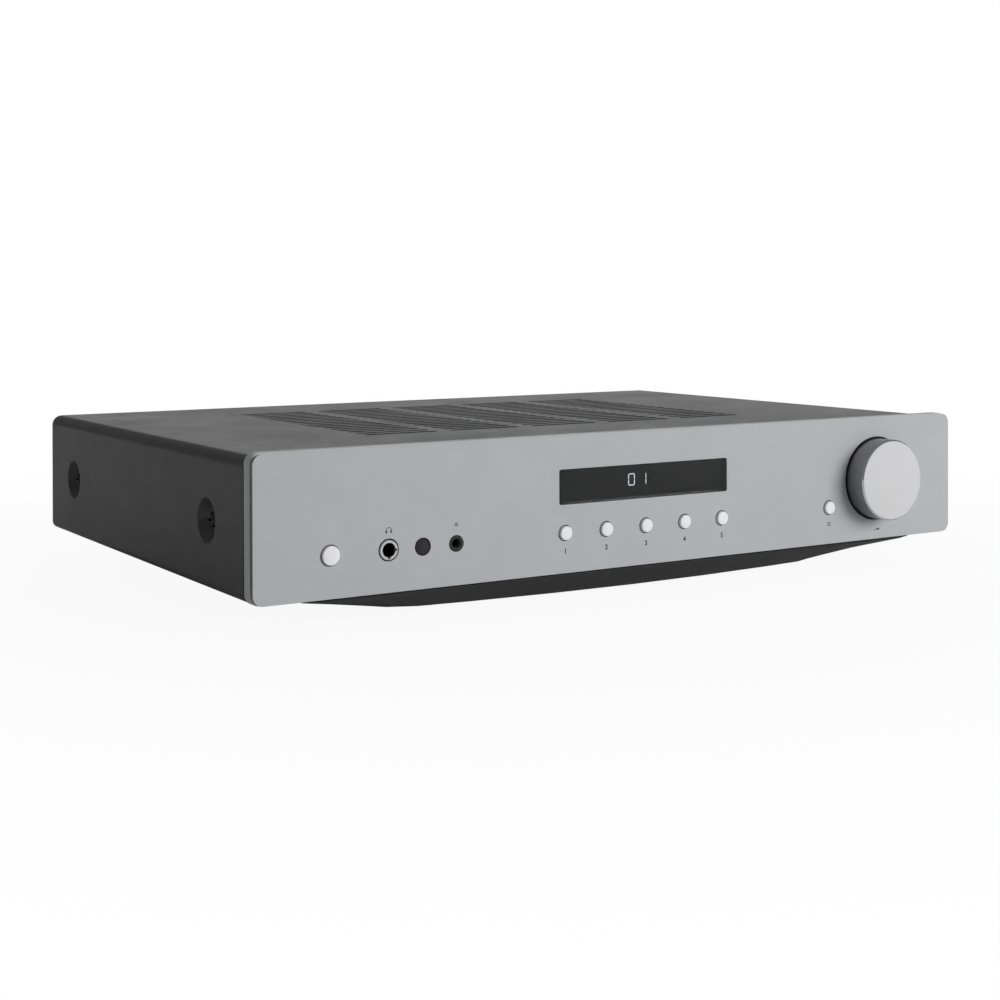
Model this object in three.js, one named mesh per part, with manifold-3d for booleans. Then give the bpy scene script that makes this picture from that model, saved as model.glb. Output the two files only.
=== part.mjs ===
// A slim integrated stereo amplifier: an aluminium fascia with a volume knob, a display and small
// round controls, a pressed steel case with vent slots, a black plinth on four rubber feet, and the
// boards, transformer, heatsink and rear connectors that it needs inside.
//
// Units are millimetres. +X is to the right as the user faces the fascia, the fascia looks along -Y
// and +Z is up. The origin is under the middle of the whole object, on the surface it stands on.

import * as THREE from 'three';
import { ConvexGeometry } from 'three/addons/geometries/ConvexGeometry.js';
import { mergeVertices } from 'three/addons/utils/BufferGeometryUtils.js';
import Module from 'manifold-3d';

const wasm = await Module();
wasm.setup();

// ---------------------------------------------------------------- driving dimensions

const GAP = 0.3;                    // clearance kept between touching pieces

// whole object
const WIDTH = 430;
const HEIGHT = 83;
const PANEL_HEIGHT = 67.7;
const KNOB_REACH = 12.4;            // from the fascia's face to the front of the knob
const CASE_REAR = 288.4;            // from the fascia's face to the rear edge of the cover
const TERMINAL_REACH = 22.8;        // from the cover's rear edge to the end of the terminal caps

// fascia, measured back from its face and up from its lower edge
const LIP_THICKNESS = 0.9;
const LIP_CHAMFER = 0.4;
const LIP_INSET = 0.3;              // the face is this much smaller than the trim, all round
const NECK_INSET = 1.5;             // the shadow groove behind the lip
const PANEL_THICKNESS = 2.9;
const PANEL_CORNER = 5;
const TRIM_BACK = 9.1;
const TRIM_WALL = 6;

// cover
const SHEET = 1.5;
const COVER_FRONT = TRIM_BACK + GAP;
const COVER_DROP = 1.8;             // the cover's top lies this far below the trim's
const COVER_RISE = 0.6;             // and its underside this far above the trim's
const COVER_TOP_BEND = 5.5;
const COVER_FOOT_BEND = 4;
const COVER_RETURN_EDGE = 195;      // half the width between the turned-in lower edges

// vents in the cover's top
const VENT_BLOCKS = 5;
const VENT_BLOCK_PITCH = 50;
const VENT_SLOT_LENGTH = 42;
const VENT_SLOT_WIDTH = 5;
const VENT_ROWS = 17;
const VENT_ROW_PITCH = 9.8;
const VENT_START = 75;              // the middle of the first row, from the face

// dished screw seats in the cover's sides
const DISH_PLACES = [52.4, 248.4];
const DISH_HEIGHT = 32.6;
const DISH_RADIUS = 10.75;
const DISH_FLOOR_RADIUS = 6.6;
const DISH_DEPTH = 4.5;
const SCREW_RADIUS = 1.65;
const SCREW_HOLE = 2.1;

// controls, all on one line except the knob and the display
const CONTROL_HEIGHT = 20;
const SOURCE_COUNT = 5;
const SOURCE_PITCH = 24.5;
const FRONT_MIDDLE = -0.7;         // of the row of source buttons, and of the display
const SOURCE_RADIUS = 3.5;
const MENU_X = 123.1;
const POWER_X = -177;
const POWER_RADIUS = 4.45;
const HEADPHONE_X = -147.4;
const INFRARED_X = -129.5;
const AUX_X = -111.5;
const BUTTON_CLEARANCE = 0.4;       // between a button and its hole
const BUTTON_PROUD = 1.1;
const BUTTON_TRAVEL = 0.8;
const KNOB_X = 158.3;
const KNOB_Z = 33.9;
const KNOB_RADIUS = 22.1;
const KNOB_SEAT_RADIUS = 23;
const KNOB_SEAT_DEPTH = 1.8;
const DISPLAY_WIDTH = 105;
const DISPLAY_HEIGHT = 17.3;
const DISPLAY_Z = 42.45;

// sockets, knob and display, behind the fascia
const HEADPHONE_HOLE = 5.25;
const HEADPHONE_NOSE = 4.9;
const INFRARED_HOLE = 4.2;
const AUX_HOLE = 3.9;
const SHAFT_HOLE = 5;
const STEM_END = 7.6;
const KNOB_BACK = 1.2;
const KNOB_CROWN = 5;               // of solid metal in front of the shaft
const SHAFT_RADIUS = 3;
const ENCODER_BACK = 11;
const WINDOW_SETBACK = 0.4;
const PHONE_BORE = 3.35;
const PHONE_DEPTH = 31;
const PHONE_BODY_BACK = 35;
const ENCODER_SIZE = 14;            // the body behind the knob, across and up
const PHONE_BODY_SIZE = 13;
const AUX_BODY = { width: 10, height: 9, back: 11 };
const AUX_BORE = 1.8;
const PRESS_SWITCH = 6;             // a switch behind a button, across and up

// plinth and feet
const PLINTH_DEPTH = 12;            // below the fascia's lower edge
const PLINTH = { top: 190, side: 148, front: 1.8, bow: 13, rear: 283, rearLow: 272 };
const FOOT_X = 110;
const FOOT_FRONT = 62;
const FOOT_REAR = 232;
const FOOT_RADIUS = 18.3;
const FOOT_HEIGHT = 6;

// chassis, boards and what stands on them
const FLOOR_SHEET = 1.2;
const BOARD_SHEET = 1.6;
const MAIN_BOARD_Z = 12;
const MAIN_BOARD = { x: [-46, 196], y: [62, 236] };
const INPUT_BOARD = { x: [56, 200], y: [240, 272] };
const CHASSIS_WALL_TOP = 42;
const SINK = { x: [22, 186], front: 150, base: 6, back: 192, top: 56 };
const FIN_PITCH = 11;
const FIN_THICKNESS = 2.4;
const BOLT_RADIUS = 3;
const STANDOFF_RADIUS = 3.5;
const STANDOFF_INSET = 6;           // from a board's corner to a standoff
const TRANSISTOR_PAIRS = [70, 138];
const TRANSISTOR = { width: 16, thickness: 5, low: 24, high: 44, offset: 11 };
const CLAMP_BAR = { width: 34, thickness: 2.5, low: 30, high: 38 };
const CAPACITORS = { x: -20, y: [104, 146], radius: 16, height: 38 };
const TOROID = { x: -132, y: 120, height: 42, inner: 16, outer: 54, corner: 9 };
const CLAMP_RADIUS = 31;            // the dished plate on the transformer
const RIBBON = { x: 30, width: 26, top: 40, bend: 26 };

// rear panel and its connectors
const REAR_FACE = 287.2;            // outer face of the rear panel, from the fascia's face
const REAR_SHEET = 1.2;
const INPUT_PAIRS = 6;
const INPUT_FIRST_X = 188;
const INPUT_PITCH = 24;
const INPUT_LOW_Z = 27.5;
const INPUT_SPACING = 14;
const TERMINAL_X = [28, 9, -21, -40];
const TERMINAL_Z = 34.5;
const CAP_RADIUS = 7.2;
const INLET_X = -165;
const INLET_Z = 33;
const SWITCH_X = -108;
const SWITCH_Z = 33;
const PHONO_RADIUS = 4.2;
const PHONO_REACH = 8.5;
const TERMINAL_BODY = { width: 84, height: 16 };
const INLET_BODY = { width: 27.4, height: 20 };
const SWITCH_BODY = { width: 12.6, height: 19 };
const BLOCK_PROUD = 3;
const STUD_RADIUS = 2.4;
const SLEEVE_RADIUS = 4;
const INLET_DEPTH = 17;
const INLET_PROUD = 2.4;
const BLADE_LENGTH = 11.5;
const WELL = { width: 10.4, height: 16.6, depth: 9 };
const ROCKER = { width: 9.6, height: 14.6 };
const POST_RADIUS = 4;              // the moulded foot of each loudspeaker stud
const ROCKER_TILT = THREE.MathUtils.degToRad(11);

// worked out from the above
const FACE_Y = (KNOB_REACH - CASE_REAR - TERMINAL_REACH) / 2;
const PANEL_BOTTOM = HEIGHT - PANEL_HEIGHT;
const COVER_TOP = PANEL_HEIGHT - COVER_DROP;
const FLOOR_LOW = COVER_RISE + SHEET + GAP;         // underside of the chassis floor
const FLOOR_HIGH = FLOOR_LOW + FLOOR_SHEET;
const CHASSIS_SIDE = WIDTH / 2 - DISH_DEPTH - SHEET - GAP;

// ---------------------------------------------------------------- finishes

const FINISHES = {
  face: { color: 0xc9cacc, roughness: 0.42, metalness: 0.9 },
  trim: { color: 0xb9babc, roughness: 0.38, metalness: 0.85 },
  cover: { color: 0x8d8f92, roughness: 0.5, metalness: 0.5 },
  steel: { color: 0x9a9da0, roughness: 0.4, metalness: 0.8 },
  bright: { color: 0xd8d9da, roughness: 0.25, metalness: 1 },
  brass: { color: 0xc9a55a, roughness: 0.3, metalness: 1 },
  black: { color: 0x1c1c1e, roughness: 0.6, metalness: 0 },
  rubber: { color: 0x141414, roughness: 0.85, metalness: 0 },
  window: { color: 0x2a2b2d, roughness: 0.08, metalness: 0 },
  glass: { color: 0x16201f, roughness: 0.1, metalness: 0 },
  board: { color: 0x1e5a36, roughness: 0.55, metalness: 0 },
  heatsink: { color: 0x2b2c2e, roughness: 0.5, metalness: 0.6 },
  winding: { color: 0xd8c79a, roughness: 0.5, metalness: 0.1 },
  capacitor: { color: 0x20304a, roughness: 0.35, metalness: 0.1 },
};

// ---------------------------------------------------------------- shape helpers

const amplifier = new THREE.Group();
amplifier.position.set(0, FACE_Y, PANEL_BOTTOM);

function add(name, geometry, finish) {
  const mesh = new THREE.Mesh(geometry, new THREE.MeshStandardMaterial(FINISHES[finish]));
  mesh.name = name;
  amplifier.add(mesh);
  return mesh;
}

function closed(geometry) {
  const bare = geometry.clone();
  bare.deleteAttribute('normal');
  bare.deleteAttribute('uv');
  return mergeVertices(bare, 1e-4);
}

function toSolid(geometry) {
  const merged = closed(geometry);
  const corners = merged.index.array;
  const kept = [];
  for (let i = 0; i < corners.length; i += 3) {
    const [a, b, c] = corners.slice(i, i + 3);
    if (a !== b && b !== c && c !== a) {
      kept.push(a, b, c);
    }
  }
  const mesh = new wasm.Mesh({
    numProp: 3,
    vertProperties: new Float32Array(merged.attributes.position.array),
    triVerts: new Uint32Array(kept),
  });
  return new wasm.Manifold(mesh);
}

function toGeometry(solid) {
  const mesh = solid.getMesh();
  const geometry = new THREE.BufferGeometry();
  geometry.setAttribute('position', new THREE.BufferAttribute(mesh.vertProperties, 3));
  geometry.setIndex(new THREE.BufferAttribute(mesh.triVerts, 1));
  geometry.computeVertexNormals();
  return geometry;
}

function join(...geometries) {
  const solids = geometries.map(toSolid);
  return toGeometry(solids.reduce((whole, piece) => whole.add(piece)));
}

function cut(geometry, ...tools) {
  const solids = tools.map(toSolid);
  return toGeometry(solids.reduce((whole, tool) => whole.subtract(tool), toSolid(geometry)));
}

// a box between two corners
function block([x0, x1], [y0, y1], [z0, z1]) {
  const geometry = new THREE.BoxGeometry(x1 - x0, y1 - y0, z1 - z0);
  return geometry.translate((x0 + x1) / 2, (y0 + y1) / 2, (z0 + z1) / 2);
}

function span(middle, size) {
  return [middle - size / 2, middle + size / 2];
}

// a shape drawn in X and Z, given its depth from y0 back to y1
function plate(shape, y0, y1) {
  const geometry = new THREE.ExtrudeGeometry(shape, {
    depth: y1 - y0,
    bevelEnabled: false,
    curveSegments: 4,
  });
  return geometry.rotateX(Math.PI / 2).translate(0, y1, 0);
}

function roundedRectangle(width, height, radius, x = 0, z = 0) {
  const shape = new THREE.Shape();
  const right = width / 2 - radius;
  const top = height / 2 - radius;
  const quarter = Math.PI / 2;
  shape.absarc(x + right, z + top, radius, 0, quarter);
  shape.absarc(x - right, z + top, radius, quarter, 2 * quarter);
  shape.absarc(x - right, z - top, radius, 2 * quarter, 3 * quarter);
  shape.absarc(x + right, z - top, radius, 3 * quarter, 4 * quarter);
  shape.closePath();
  return shape;
}

// a turned piece whose axis runs along Y through (x, z); the profile is [radius, y] pairs, from the
// front of the axis outwards and back
function turned(profile, segments, x = 0, z = 0) {
  const points = profile.map(([radius, y]) => new THREE.Vector2(radius, y));
  return new THREE.LatheGeometry(points, segments).translate(x, 0, z);
}

function rod(radius, y0, y1, segments, x = 0, z = 0) {
  return turned([[0, y0], [radius, y0], [radius, y1], [0, y1]], segments, x, z);
}

// the same, standing up along Z
function post(radius, z0, z1, segments, x, y) {
  const geometry = new THREE.CylinderGeometry(radius, radius, z1 - z0, segments);
  return geometry.rotateX(Math.PI / 2).translate(x, y, (z0 + z1) / 2);
}

// ---------------------------------------------------------------- fascia

const sourceX = [];
for (let i = 0; i < SOURCE_COUNT; i += 1) {
  sourceX.push(FRONT_MIDDLE + (i - (SOURCE_COUNT - 1) / 2) * SOURCE_PITCH);
}

function frontPanel() {
  const middle = PANEL_HEIGHT / 2;
  const lipWidth = WIDTH - 2 * LIP_INSET;
  const lipHeight = PANEL_HEIGHT - 2 * LIP_INSET;
  const lip = new THREE.ExtrudeGeometry(roundedRectangle(lipWidth, lipHeight, PANEL_CORNER, 0, middle), {
    depth: LIP_THICKNESS - 2 * LIP_CHAMFER,
    bevelThickness: LIP_CHAMFER,
    bevelSize: LIP_CHAMFER,
    bevelOffset: -LIP_CHAMFER,
    bevelSegments: 1,
    curveSegments: 4,
  });
  lip.rotateX(Math.PI / 2).translate(0, LIP_THICKNESS - LIP_CHAMFER, 0);
  const neckShape = roundedRectangle(
    WIDTH - 2 * NECK_INSET, PANEL_HEIGHT - 2 * NECK_INSET, PANEL_CORNER - NECK_INSET, 0, middle);
  const neck = plate(neckShape, LIP_THICKNESS / 2, PANEL_THICKNESS);
  const through = (radius, x) => rod(radius, -1, PANEL_THICKNESS + 1, 14, x, CONTROL_HEIGHT);
  const holes = [
    ...sourceX.map((x) => through(SOURCE_RADIUS + BUTTON_CLEARANCE, x)),
    through(SOURCE_RADIUS + BUTTON_CLEARANCE, MENU_X),
    through(POWER_RADIUS + BUTTON_CLEARANCE, POWER_X),
    through(HEADPHONE_HOLE, HEADPHONE_X),
    through(INFRARED_HOLE, INFRARED_X),
    through(AUX_HOLE, AUX_X),
    rod(KNOB_SEAT_RADIUS, -1, KNOB_SEAT_DEPTH, 32, KNOB_X, KNOB_Z),
    rod(SHAFT_HOLE, 0, PANEL_THICKNESS + 1, 16, KNOB_X, KNOB_Z),
    block(span(FRONT_MIDDLE, DISPLAY_WIDTH), [-1, PANEL_THICKNESS + 1], span(DISPLAY_Z, DISPLAY_HEIGHT)),
  ];
  return cut(join(lip, neck), ...holes);
}

function frontTrim() {
  const middle = PANEL_HEIGHT / 2;
  const outline = roundedRectangle(WIDTH, PANEL_HEIGHT, PANEL_CORNER, 0, middle);
  const opening = roundedRectangle(WIDTH - 2 * TRIM_WALL, PANEL_HEIGHT - 2 * TRIM_WALL, 2, 0, middle);
  outline.holes.push(new THREE.Path(opening.getPoints(2)));
  return plate(outline, PANEL_THICKNESS + GAP, TRIM_BACK);
}

add('front_panel', frontPanel(), 'face');
add('front_trim', frontTrim(), 'trim');

// A button: a crowned cap in the fascia's hole, a collar that stops it behind the fascia and a stem
// that presses the switch on the board.
const COLLAR_FRONT = PANEL_THICKNESS + GAP;
const SWITCH_FRONT = STEM_END + BUTTON_TRAVEL + GAP;

function button(radius, x) {
  const crown = 0.35;
  const collar = radius + 1.2;
  const profile = [
    [0, -BUTTON_PROUD - crown],
    [radius * 0.7, -BUTTON_PROUD - crown / 2],
    [radius, -BUTTON_PROUD + crown],
    [radius, COLLAR_FRONT],
    [collar, COLLAR_FRONT],
    [collar, COLLAR_FRONT + 1],
    [1.5, COLLAR_FRONT + 1],
    [1.5, STEM_END],
    [0, STEM_END],
  ];
  return turned(profile, 12, x, CONTROL_HEIGHT);
}

add('power_button', button(POWER_RADIUS, POWER_X), 'bright');
add('menu_button', button(SOURCE_RADIUS, MENU_X), 'bright');
sourceX.forEach((x, i) => add(`source_button_${i + 1}`, button(SOURCE_RADIUS, x), 'bright'));

// The knob is a hollow cup with a boss that grips the encoder's shaft.

const knobProfile = [
  [0, -KNOB_REACH],
  [KNOB_RADIUS - 0.7, -KNOB_REACH],
  [KNOB_RADIUS, -KNOB_REACH + 0.7],
  [KNOB_RADIUS, KNOB_BACK],
  [KNOB_RADIUS - 2.4, KNOB_BACK],
  [KNOB_RADIUS - 2.4, -KNOB_REACH + 3.5],
  [6.5, -KNOB_REACH + 3.5],
  [6.5, -0.5],
  [SHAFT_RADIUS + GAP, -0.5],
  [SHAFT_RADIUS + GAP, -KNOB_REACH + KNOB_CROWN],
  [0, -KNOB_REACH + KNOB_CROWN],
];
add('volume_knob', turned(knobProfile, 32, KNOB_X, KNOB_Z), 'face');

const encoder = cut(
  join(
    block(span(KNOB_X, ENCODER_SIZE), [COLLAR_FRONT, ENCODER_BACK], span(KNOB_Z, ENCODER_SIZE)),
    rod(SHAFT_HOLE - GAP, 0.6, COLLAR_FRONT + 1, 16, KNOB_X, KNOB_Z),
  ),
  rod(SHAFT_RADIUS + GAP, 0, ENCODER_BACK - 2, 16, KNOB_X, KNOB_Z),
);
add('encoder_body', encoder, 'steel');
const SHAFT_TIP = -KNOB_REACH + KNOB_CROWN + GAP;
add('encoder_shaft', rod(SHAFT_RADIUS, SHAFT_TIP, ENCODER_BACK - 2.4, 16, KNOB_X, KNOB_Z), 'steel');

// The display: a smoked window that fills the fascia's cut-out, and the glass module behind it.
const windowPlate = join(
  block(
    span(FRONT_MIDDLE, DISPLAY_WIDTH - 2 * GAP), [WINDOW_SETBACK, 4], span(DISPLAY_Z, DISPLAY_HEIGHT - 2 * GAP)),
  block(span(FRONT_MIDDLE, DISPLAY_WIDTH + 6), [COLLAR_FRONT, 4.2], span(DISPLAY_Z, DISPLAY_HEIGHT + 4)),
);
add('display_window', windowPlate, 'window');
add('display_module', block(span(FRONT_MIDDLE, 112), [4.6, 8.4], span(DISPLAY_Z, 20)), 'glass');

const infraredProfile = [
  [0, -0.2],
  [3.2, 0],
  [INFRARED_HOLE - GAP, 0.6],
  [INFRARED_HOLE - GAP, COLLAR_FRONT],
  [5.4, COLLAR_FRONT],
  [5.4, 4.4],
  [0, 4.4],
];
add('ir_window', turned(infraredProfile, 16, INFRARED_X, CONTROL_HEIGHT), 'window');

// sockets in the fascia: a round nose in the hole and a moulded body behind it
const headphoneJack = cut(
  join(
    rod(HEADPHONE_NOSE, -0.3, COLLAR_FRONT + 1, 24, HEADPHONE_X, CONTROL_HEIGHT),
    block(
      span(HEADPHONE_X, PHONE_BODY_SIZE), [COLLAR_FRONT, PHONE_BODY_BACK],
      span(CONTROL_HEIGHT, PHONE_BODY_SIZE)),
  ),
  rod(PHONE_BORE, -1, PHONE_DEPTH, 16, HEADPHONE_X, CONTROL_HEIGHT),
);
add('headphone_jack', headphoneJack, 'black');

const auxJack = cut(
  join(
    rod(AUX_HOLE - GAP, 0.2, COLLAR_FRONT + 1, 16, AUX_X, CONTROL_HEIGHT),
    block(span(AUX_X, AUX_BODY.width), [COLLAR_FRONT, AUX_BODY.back], span(CONTROL_HEIGHT, AUX_BODY.height)),
  ),
  rod(AUX_BORE, -1, AUX_BODY.back - 1, 12, AUX_X, CONTROL_HEIGHT),
);
add('aux_jack', auxJack, 'black');

// The front board carries a switch behind each button, and is cut away around the headphone jack.
const FRONT_BOARD_Y = SWITCH_FRONT + 3.6;

function frontBoard() {
  const board = block([-196, 196], [FRONT_BOARD_Y, FRONT_BOARD_Y + BOARD_SHEET], [11, 57]);
  const switchAt = (x) => block(
    span(x, PRESS_SWITCH), [SWITCH_FRONT, FRONT_BOARD_Y + 0.5], span(CONTROL_HEIGHT, PRESS_SWITCH));
  const switches = [...sourceX, MENU_X, POWER_X].map(switchAt);
  const notch = block(span(HEADPHONE_X, 14.6), [FRONT_BOARD_Y - 1, FRONT_BOARD_Y + 3], [9, 27.5]);
  return cut(join(board, ...switches), notch);
}
add('front_board', frontBoard(), 'board');

// ---------------------------------------------------------------- cover

// The section of the pressed cover: over the top, down both sides and in under the lower edges. Its
// outer outline runs one way and its inner outline runs back.
function coverBends(inset) {
  const side = WIDTH / 2 - inset;
  const top = COVER_TOP - inset;
  const low = COVER_RISE + inset;
  const bend = COVER_TOP_BEND - inset;
  const foot = COVER_FOOT_BEND - inset;
  const quarter = Math.PI / 2;
  return [
    [side - foot, low + foot, foot, -quarter, 0],
    [side - bend, top - bend, bend, 0, quarter],
    [-side + bend, top - bend, bend, quarter, 2 * quarter],
    [-side + foot, low + foot, foot, 2 * quarter, 3 * quarter],
  ];
}

function coverSection() {
  const shape = new THREE.Shape();
  shape.moveTo(COVER_RETURN_EDGE, COVER_RISE);
  for (const [x, z, radius, start, end] of coverBends(0)) {
    shape.absarc(x, z, radius, start, end);
  }
  shape.lineTo(-COVER_RETURN_EDGE, COVER_RISE);
  shape.lineTo(-COVER_RETURN_EDGE, COVER_RISE + SHEET);
  for (const [x, z, radius, start, end] of coverBends(SHEET).reverse()) {
    shape.absarc(x, z, radius, end, start, true);
  }
  shape.lineTo(COVER_RETURN_EDGE, COVER_RISE + SHEET);
  shape.closePath();
  return shape;
}

// A dish runs in from the cover's right side; the left one is its mirror image, turned half round.
function dish(side, y, allowance) {
  const depth = DISH_DEPTH + allowance;
  const profile = [
    [0, -depth],
    [DISH_FLOOR_RADIUS + allowance, -depth],
    [DISH_RADIUS - 1.4 + allowance, -1.6 - allowance / 2],
    [DISH_RADIUS + allowance, allowance > 0 ? -0.2 : 0.1],
    [0, allowance > 0 ? -0.2 : 0.1],
  ];
  const geometry = turned(profile, 16);
  geometry.rotateZ(-side * Math.PI / 2);
  return geometry.translate(side * WIDTH / 2, y, DISH_HEIGHT);
}

function sideRod(side, radius, x0, x1, segments, y, z) {
  const geometry = rod(radius, x0, x1, segments);
  geometry.rotateZ(-side * Math.PI / 2);
  return geometry.translate(0, y, z);
}

function topCover() {
  const sleeve = plate(coverSection(), COVER_FRONT, CASE_REAR);
  const pressings = [];
  const openings = [];
  for (const side of [1, -1]) {
    for (const y of DISH_PLACES) {
      pressings.push(dish(side, y, SHEET));
      openings.push(dish(side, y, 0));
      openings.push(sideRod(side, SCREW_HOLE, CHASSIS_SIDE, WIDTH / 2 - 1, 12, y, DISH_HEIGHT));
    }
  }
  for (let column = 0; column < VENT_BLOCKS; column += 1) {
    const x = (column - (VENT_BLOCKS - 1) / 2) * VENT_BLOCK_PITCH;
    for (let row = 0; row < VENT_ROWS; row += 1) {
      const y = VENT_START + row * VENT_ROW_PITCH;
      const depth = [COVER_TOP - SHEET - 1, COVER_TOP + 1];
      openings.push(block(span(x, VENT_SLOT_LENGTH), span(y, VENT_SLOT_WIDTH), depth));
    }
  }
  return cut(join(sleeve, ...pressings), ...openings);
}
add('top_cover', topCover(), 'cover');

// a pan-headed screw in each dish, through the cover into the chassis
function coverScrew(side, y) {
  const seat = WIDTH / 2 - DISH_DEPTH + GAP;
  const profile = [
    [0, seat - 8],
    [SCREW_RADIUS, seat - 8],
    [SCREW_RADIUS, seat],
    [3.6, seat],
    [3.4, seat + 1.4],
    [2, seat + 2.3],
    [0, seat + 2.4],
  ];
  const geometry = turned(profile, 12);
  geometry.rotateZ(-side * Math.PI / 2);
  return geometry.translate(0, y, DISH_HEIGHT);
}
let screwNumber = 0;
for (const side of [1, -1]) {
  for (const y of DISH_PLACES) {
    screwNumber += 1;
    add(`cover_screw_${screwNumber}`, coverScrew(side, y), 'steel');
  }
}

// ---------------------------------------------------------------- chassis and boards

const CHASSIS_FRONT = FRONT_BOARD_Y + BOARD_SHEET + 1;
const CHASSIS_BACK = REAR_FACE - REAR_SHEET - GAP;

function bottomChassis() {
  const wall = FLOOR_SHEET;
  const across = [-CHASSIS_SIDE, CHASSIS_SIDE];
  const pieces = [
    block(across, [CHASSIS_FRONT, CHASSIS_BACK], [FLOOR_LOW, FLOOR_HIGH]),
    block(across, [CHASSIS_FRONT, CHASSIS_FRONT + wall], [FLOOR_LOW, 20]),
  ];
  const holes = [];
  for (const side of [1, -1]) {
    const x = side > 0 ? [CHASSIS_SIDE - wall, CHASSIS_SIDE] : [-CHASSIS_SIDE, -CHASSIS_SIDE + wall];
    pieces.push(block(x, [CHASSIS_FRONT, CHASSIS_BACK], [FLOOR_LOW, CHASSIS_WALL_TOP]));
    for (const y of DISH_PLACES) {
      holes.push(sideRod(side, SCREW_HOLE, CHASSIS_SIDE - 3, CHASSIS_SIDE + 1, 12, y, DISH_HEIGHT));
    }
  }
  const standoffs = [];
  for (const x of MAIN_BOARD.x.map((edge, i) => edge + (i ? -1 : 1) * STANDOFF_INSET)) {
    for (const y of MAIN_BOARD.y.map((edge, i) => edge + (i ? -1 : 1) * STANDOFF_INSET)) {
      standoffs.push([x, y]);
    }
  }
  for (const x of INPUT_BOARD.x.map((edge, i) => edge + (i ? -1 : 1) * STANDOFF_INSET)) {
    standoffs.push([x, INPUT_BOARD.y[0] + STANDOFF_INSET + STANDOFF_RADIUS]);
  }
  for (const [x, y] of standoffs) {
    pieces.push(post(STANDOFF_RADIUS, FLOOR_HIGH - 0.5, MAIN_BOARD_Z - GAP, 8, x, y));
  }
  holes.push(block(span(HEADPHONE_X, 14.6), [CHASSIS_FRONT - 1, CHASSIS_FRONT + wall + 1], [12.5, 21]));
  return cut(join(...pieces), ...holes);
}
add('bottom_chassis', bottomChassis(), 'steel');

const boardDepth = [MAIN_BOARD_Z, MAIN_BOARD_Z + BOARD_SHEET];
const ON_BOARD = MAIN_BOARD_Z + BOARD_SHEET + GAP;
add('main_board', block(MAIN_BOARD.x, MAIN_BOARD.y, boardDepth), 'board');
add('input_board', block(INPUT_BOARD.x, INPUT_BOARD.y, boardDepth), 'board');

// The heatsink stands on the main board: a thick plate with fins behind it.

function heatsink() {
  const outline = new THREE.Shape();
  const [left, right] = SINK.x;
  outline.moveTo(left, SINK.front);
  outline.lineTo(right, SINK.front);
  outline.lineTo(right, SINK.back);
  for (let x = right - FIN_THICKNESS; x > left + FIN_PITCH; x -= FIN_PITCH) {
    outline.lineTo(x, SINK.back);
    outline.lineTo(x, SINK.front + SINK.base);
    outline.lineTo(x - FIN_PITCH + FIN_THICKNESS, SINK.front + SINK.base);
    outline.lineTo(x - FIN_PITCH + FIN_THICKNESS, SINK.back);
  }
  outline.lineTo(left, SINK.back);
  outline.closePath();
  const height = SINK.top - ON_BOARD;
  const geometry = new THREE.ExtrudeGeometry(outline, { depth: height, bevelEnabled: false });
  return geometry.translate(0, 0, ON_BOARD);
}
add('heatsink', heatsink(), 'heatsink');

// one pair of output transistors for each channel, against the plate's front
for (const [i, x] of TRANSISTOR_PAIRS.entries()) {
  const back = SINK.front - GAP;
  const front = back - TRANSISTOR.thickness;
  const height = [TRANSISTOR.low, TRANSISTOR.high];
  const packages = [-TRANSISTOR.offset, TRANSISTOR.offset].map((aside) => (
    block(span(x + aside, TRANSISTOR.width), [front, back], height)));
  const bar = block(
    span(x, CLAMP_BAR.width),
    [front + 0.5 - CLAMP_BAR.thickness, front + 0.5],
    [CLAMP_BAR.low, CLAMP_BAR.high],
  );
  add(`output_transistors_${i + 1}`, join(...packages, bar), 'black');
}

CAPACITORS.y.forEach((y, i) => {
  const { x, radius, height } = CAPACITORS;
  const profile = [[0, 0], [radius, 0], [radius, height - 1.5], [radius - 1, height], [0, height]];
  const can = turned(profile, 16).rotateX(Math.PI / 2);
  add(`reservoir_capacitor_${i + 1}`, can.translate(x, y, ON_BOARD), 'capacitor');
});

// The toroidal transformer lies on the floor, held by a dished plate and one bolt.
const TOROID_LOW = FLOOR_HIGH + GAP;
const TOROID_TOP = TOROID_LOW + TOROID.height;

function toroid() {
  const { inner, outer, height, corner } = TOROID;
  const profile = [
    [inner + corner / 2, 0],
    [outer - corner, 0],
    [outer - corner * 0.3, corner * 0.3],
    [outer, corner],
    [outer, height - corner],
    [outer - corner * 0.3, height - corner * 0.3],
    [outer - corner, height],
    [inner + corner / 2, height],
    [inner, height - corner / 2],
    [inner, corner / 2],
    [inner + corner / 2, 0],
  ];
  return turned(profile, 24).rotateX(Math.PI / 2).translate(TOROID.x, TOROID.y, TOROID_LOW);
}
add('toroidal_transformer', toroid(), 'winding');

const clampProfile = [
  [BOLT_RADIUS + GAP, -3],
  [12, -3],
  [20, 0],
  [CLAMP_RADIUS, 0],
  [CLAMP_RADIUS, 1.5],
  [19.4, 1.5],
  [11.4, -1.5],
  [BOLT_RADIUS + GAP, -1.5],
  [BOLT_RADIUS + GAP, -3],
];
const clamp = turned(clampProfile, 16).rotateX(Math.PI / 2);
add('transformer_plate', clamp.translate(TOROID.x, TOROID.y, TOROID_TOP + GAP), 'steel');

const boltProfile = [
  [0, TOROID_LOW],
  [BOLT_RADIUS, TOROID_LOW],
  [BOLT_RADIUS, TOROID_TOP - 0.9],
  [5.5, TOROID_TOP - 0.9],
  [5.5, TOROID_TOP + 2.6],
  [0, TOROID_TOP + 2.6],
];
const bolt = turned(boltProfile, 12).rotateX(Math.PI / 2);
add('transformer_bolt', bolt.translate(TOROID.x, TOROID.y, 0), 'steel');

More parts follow.
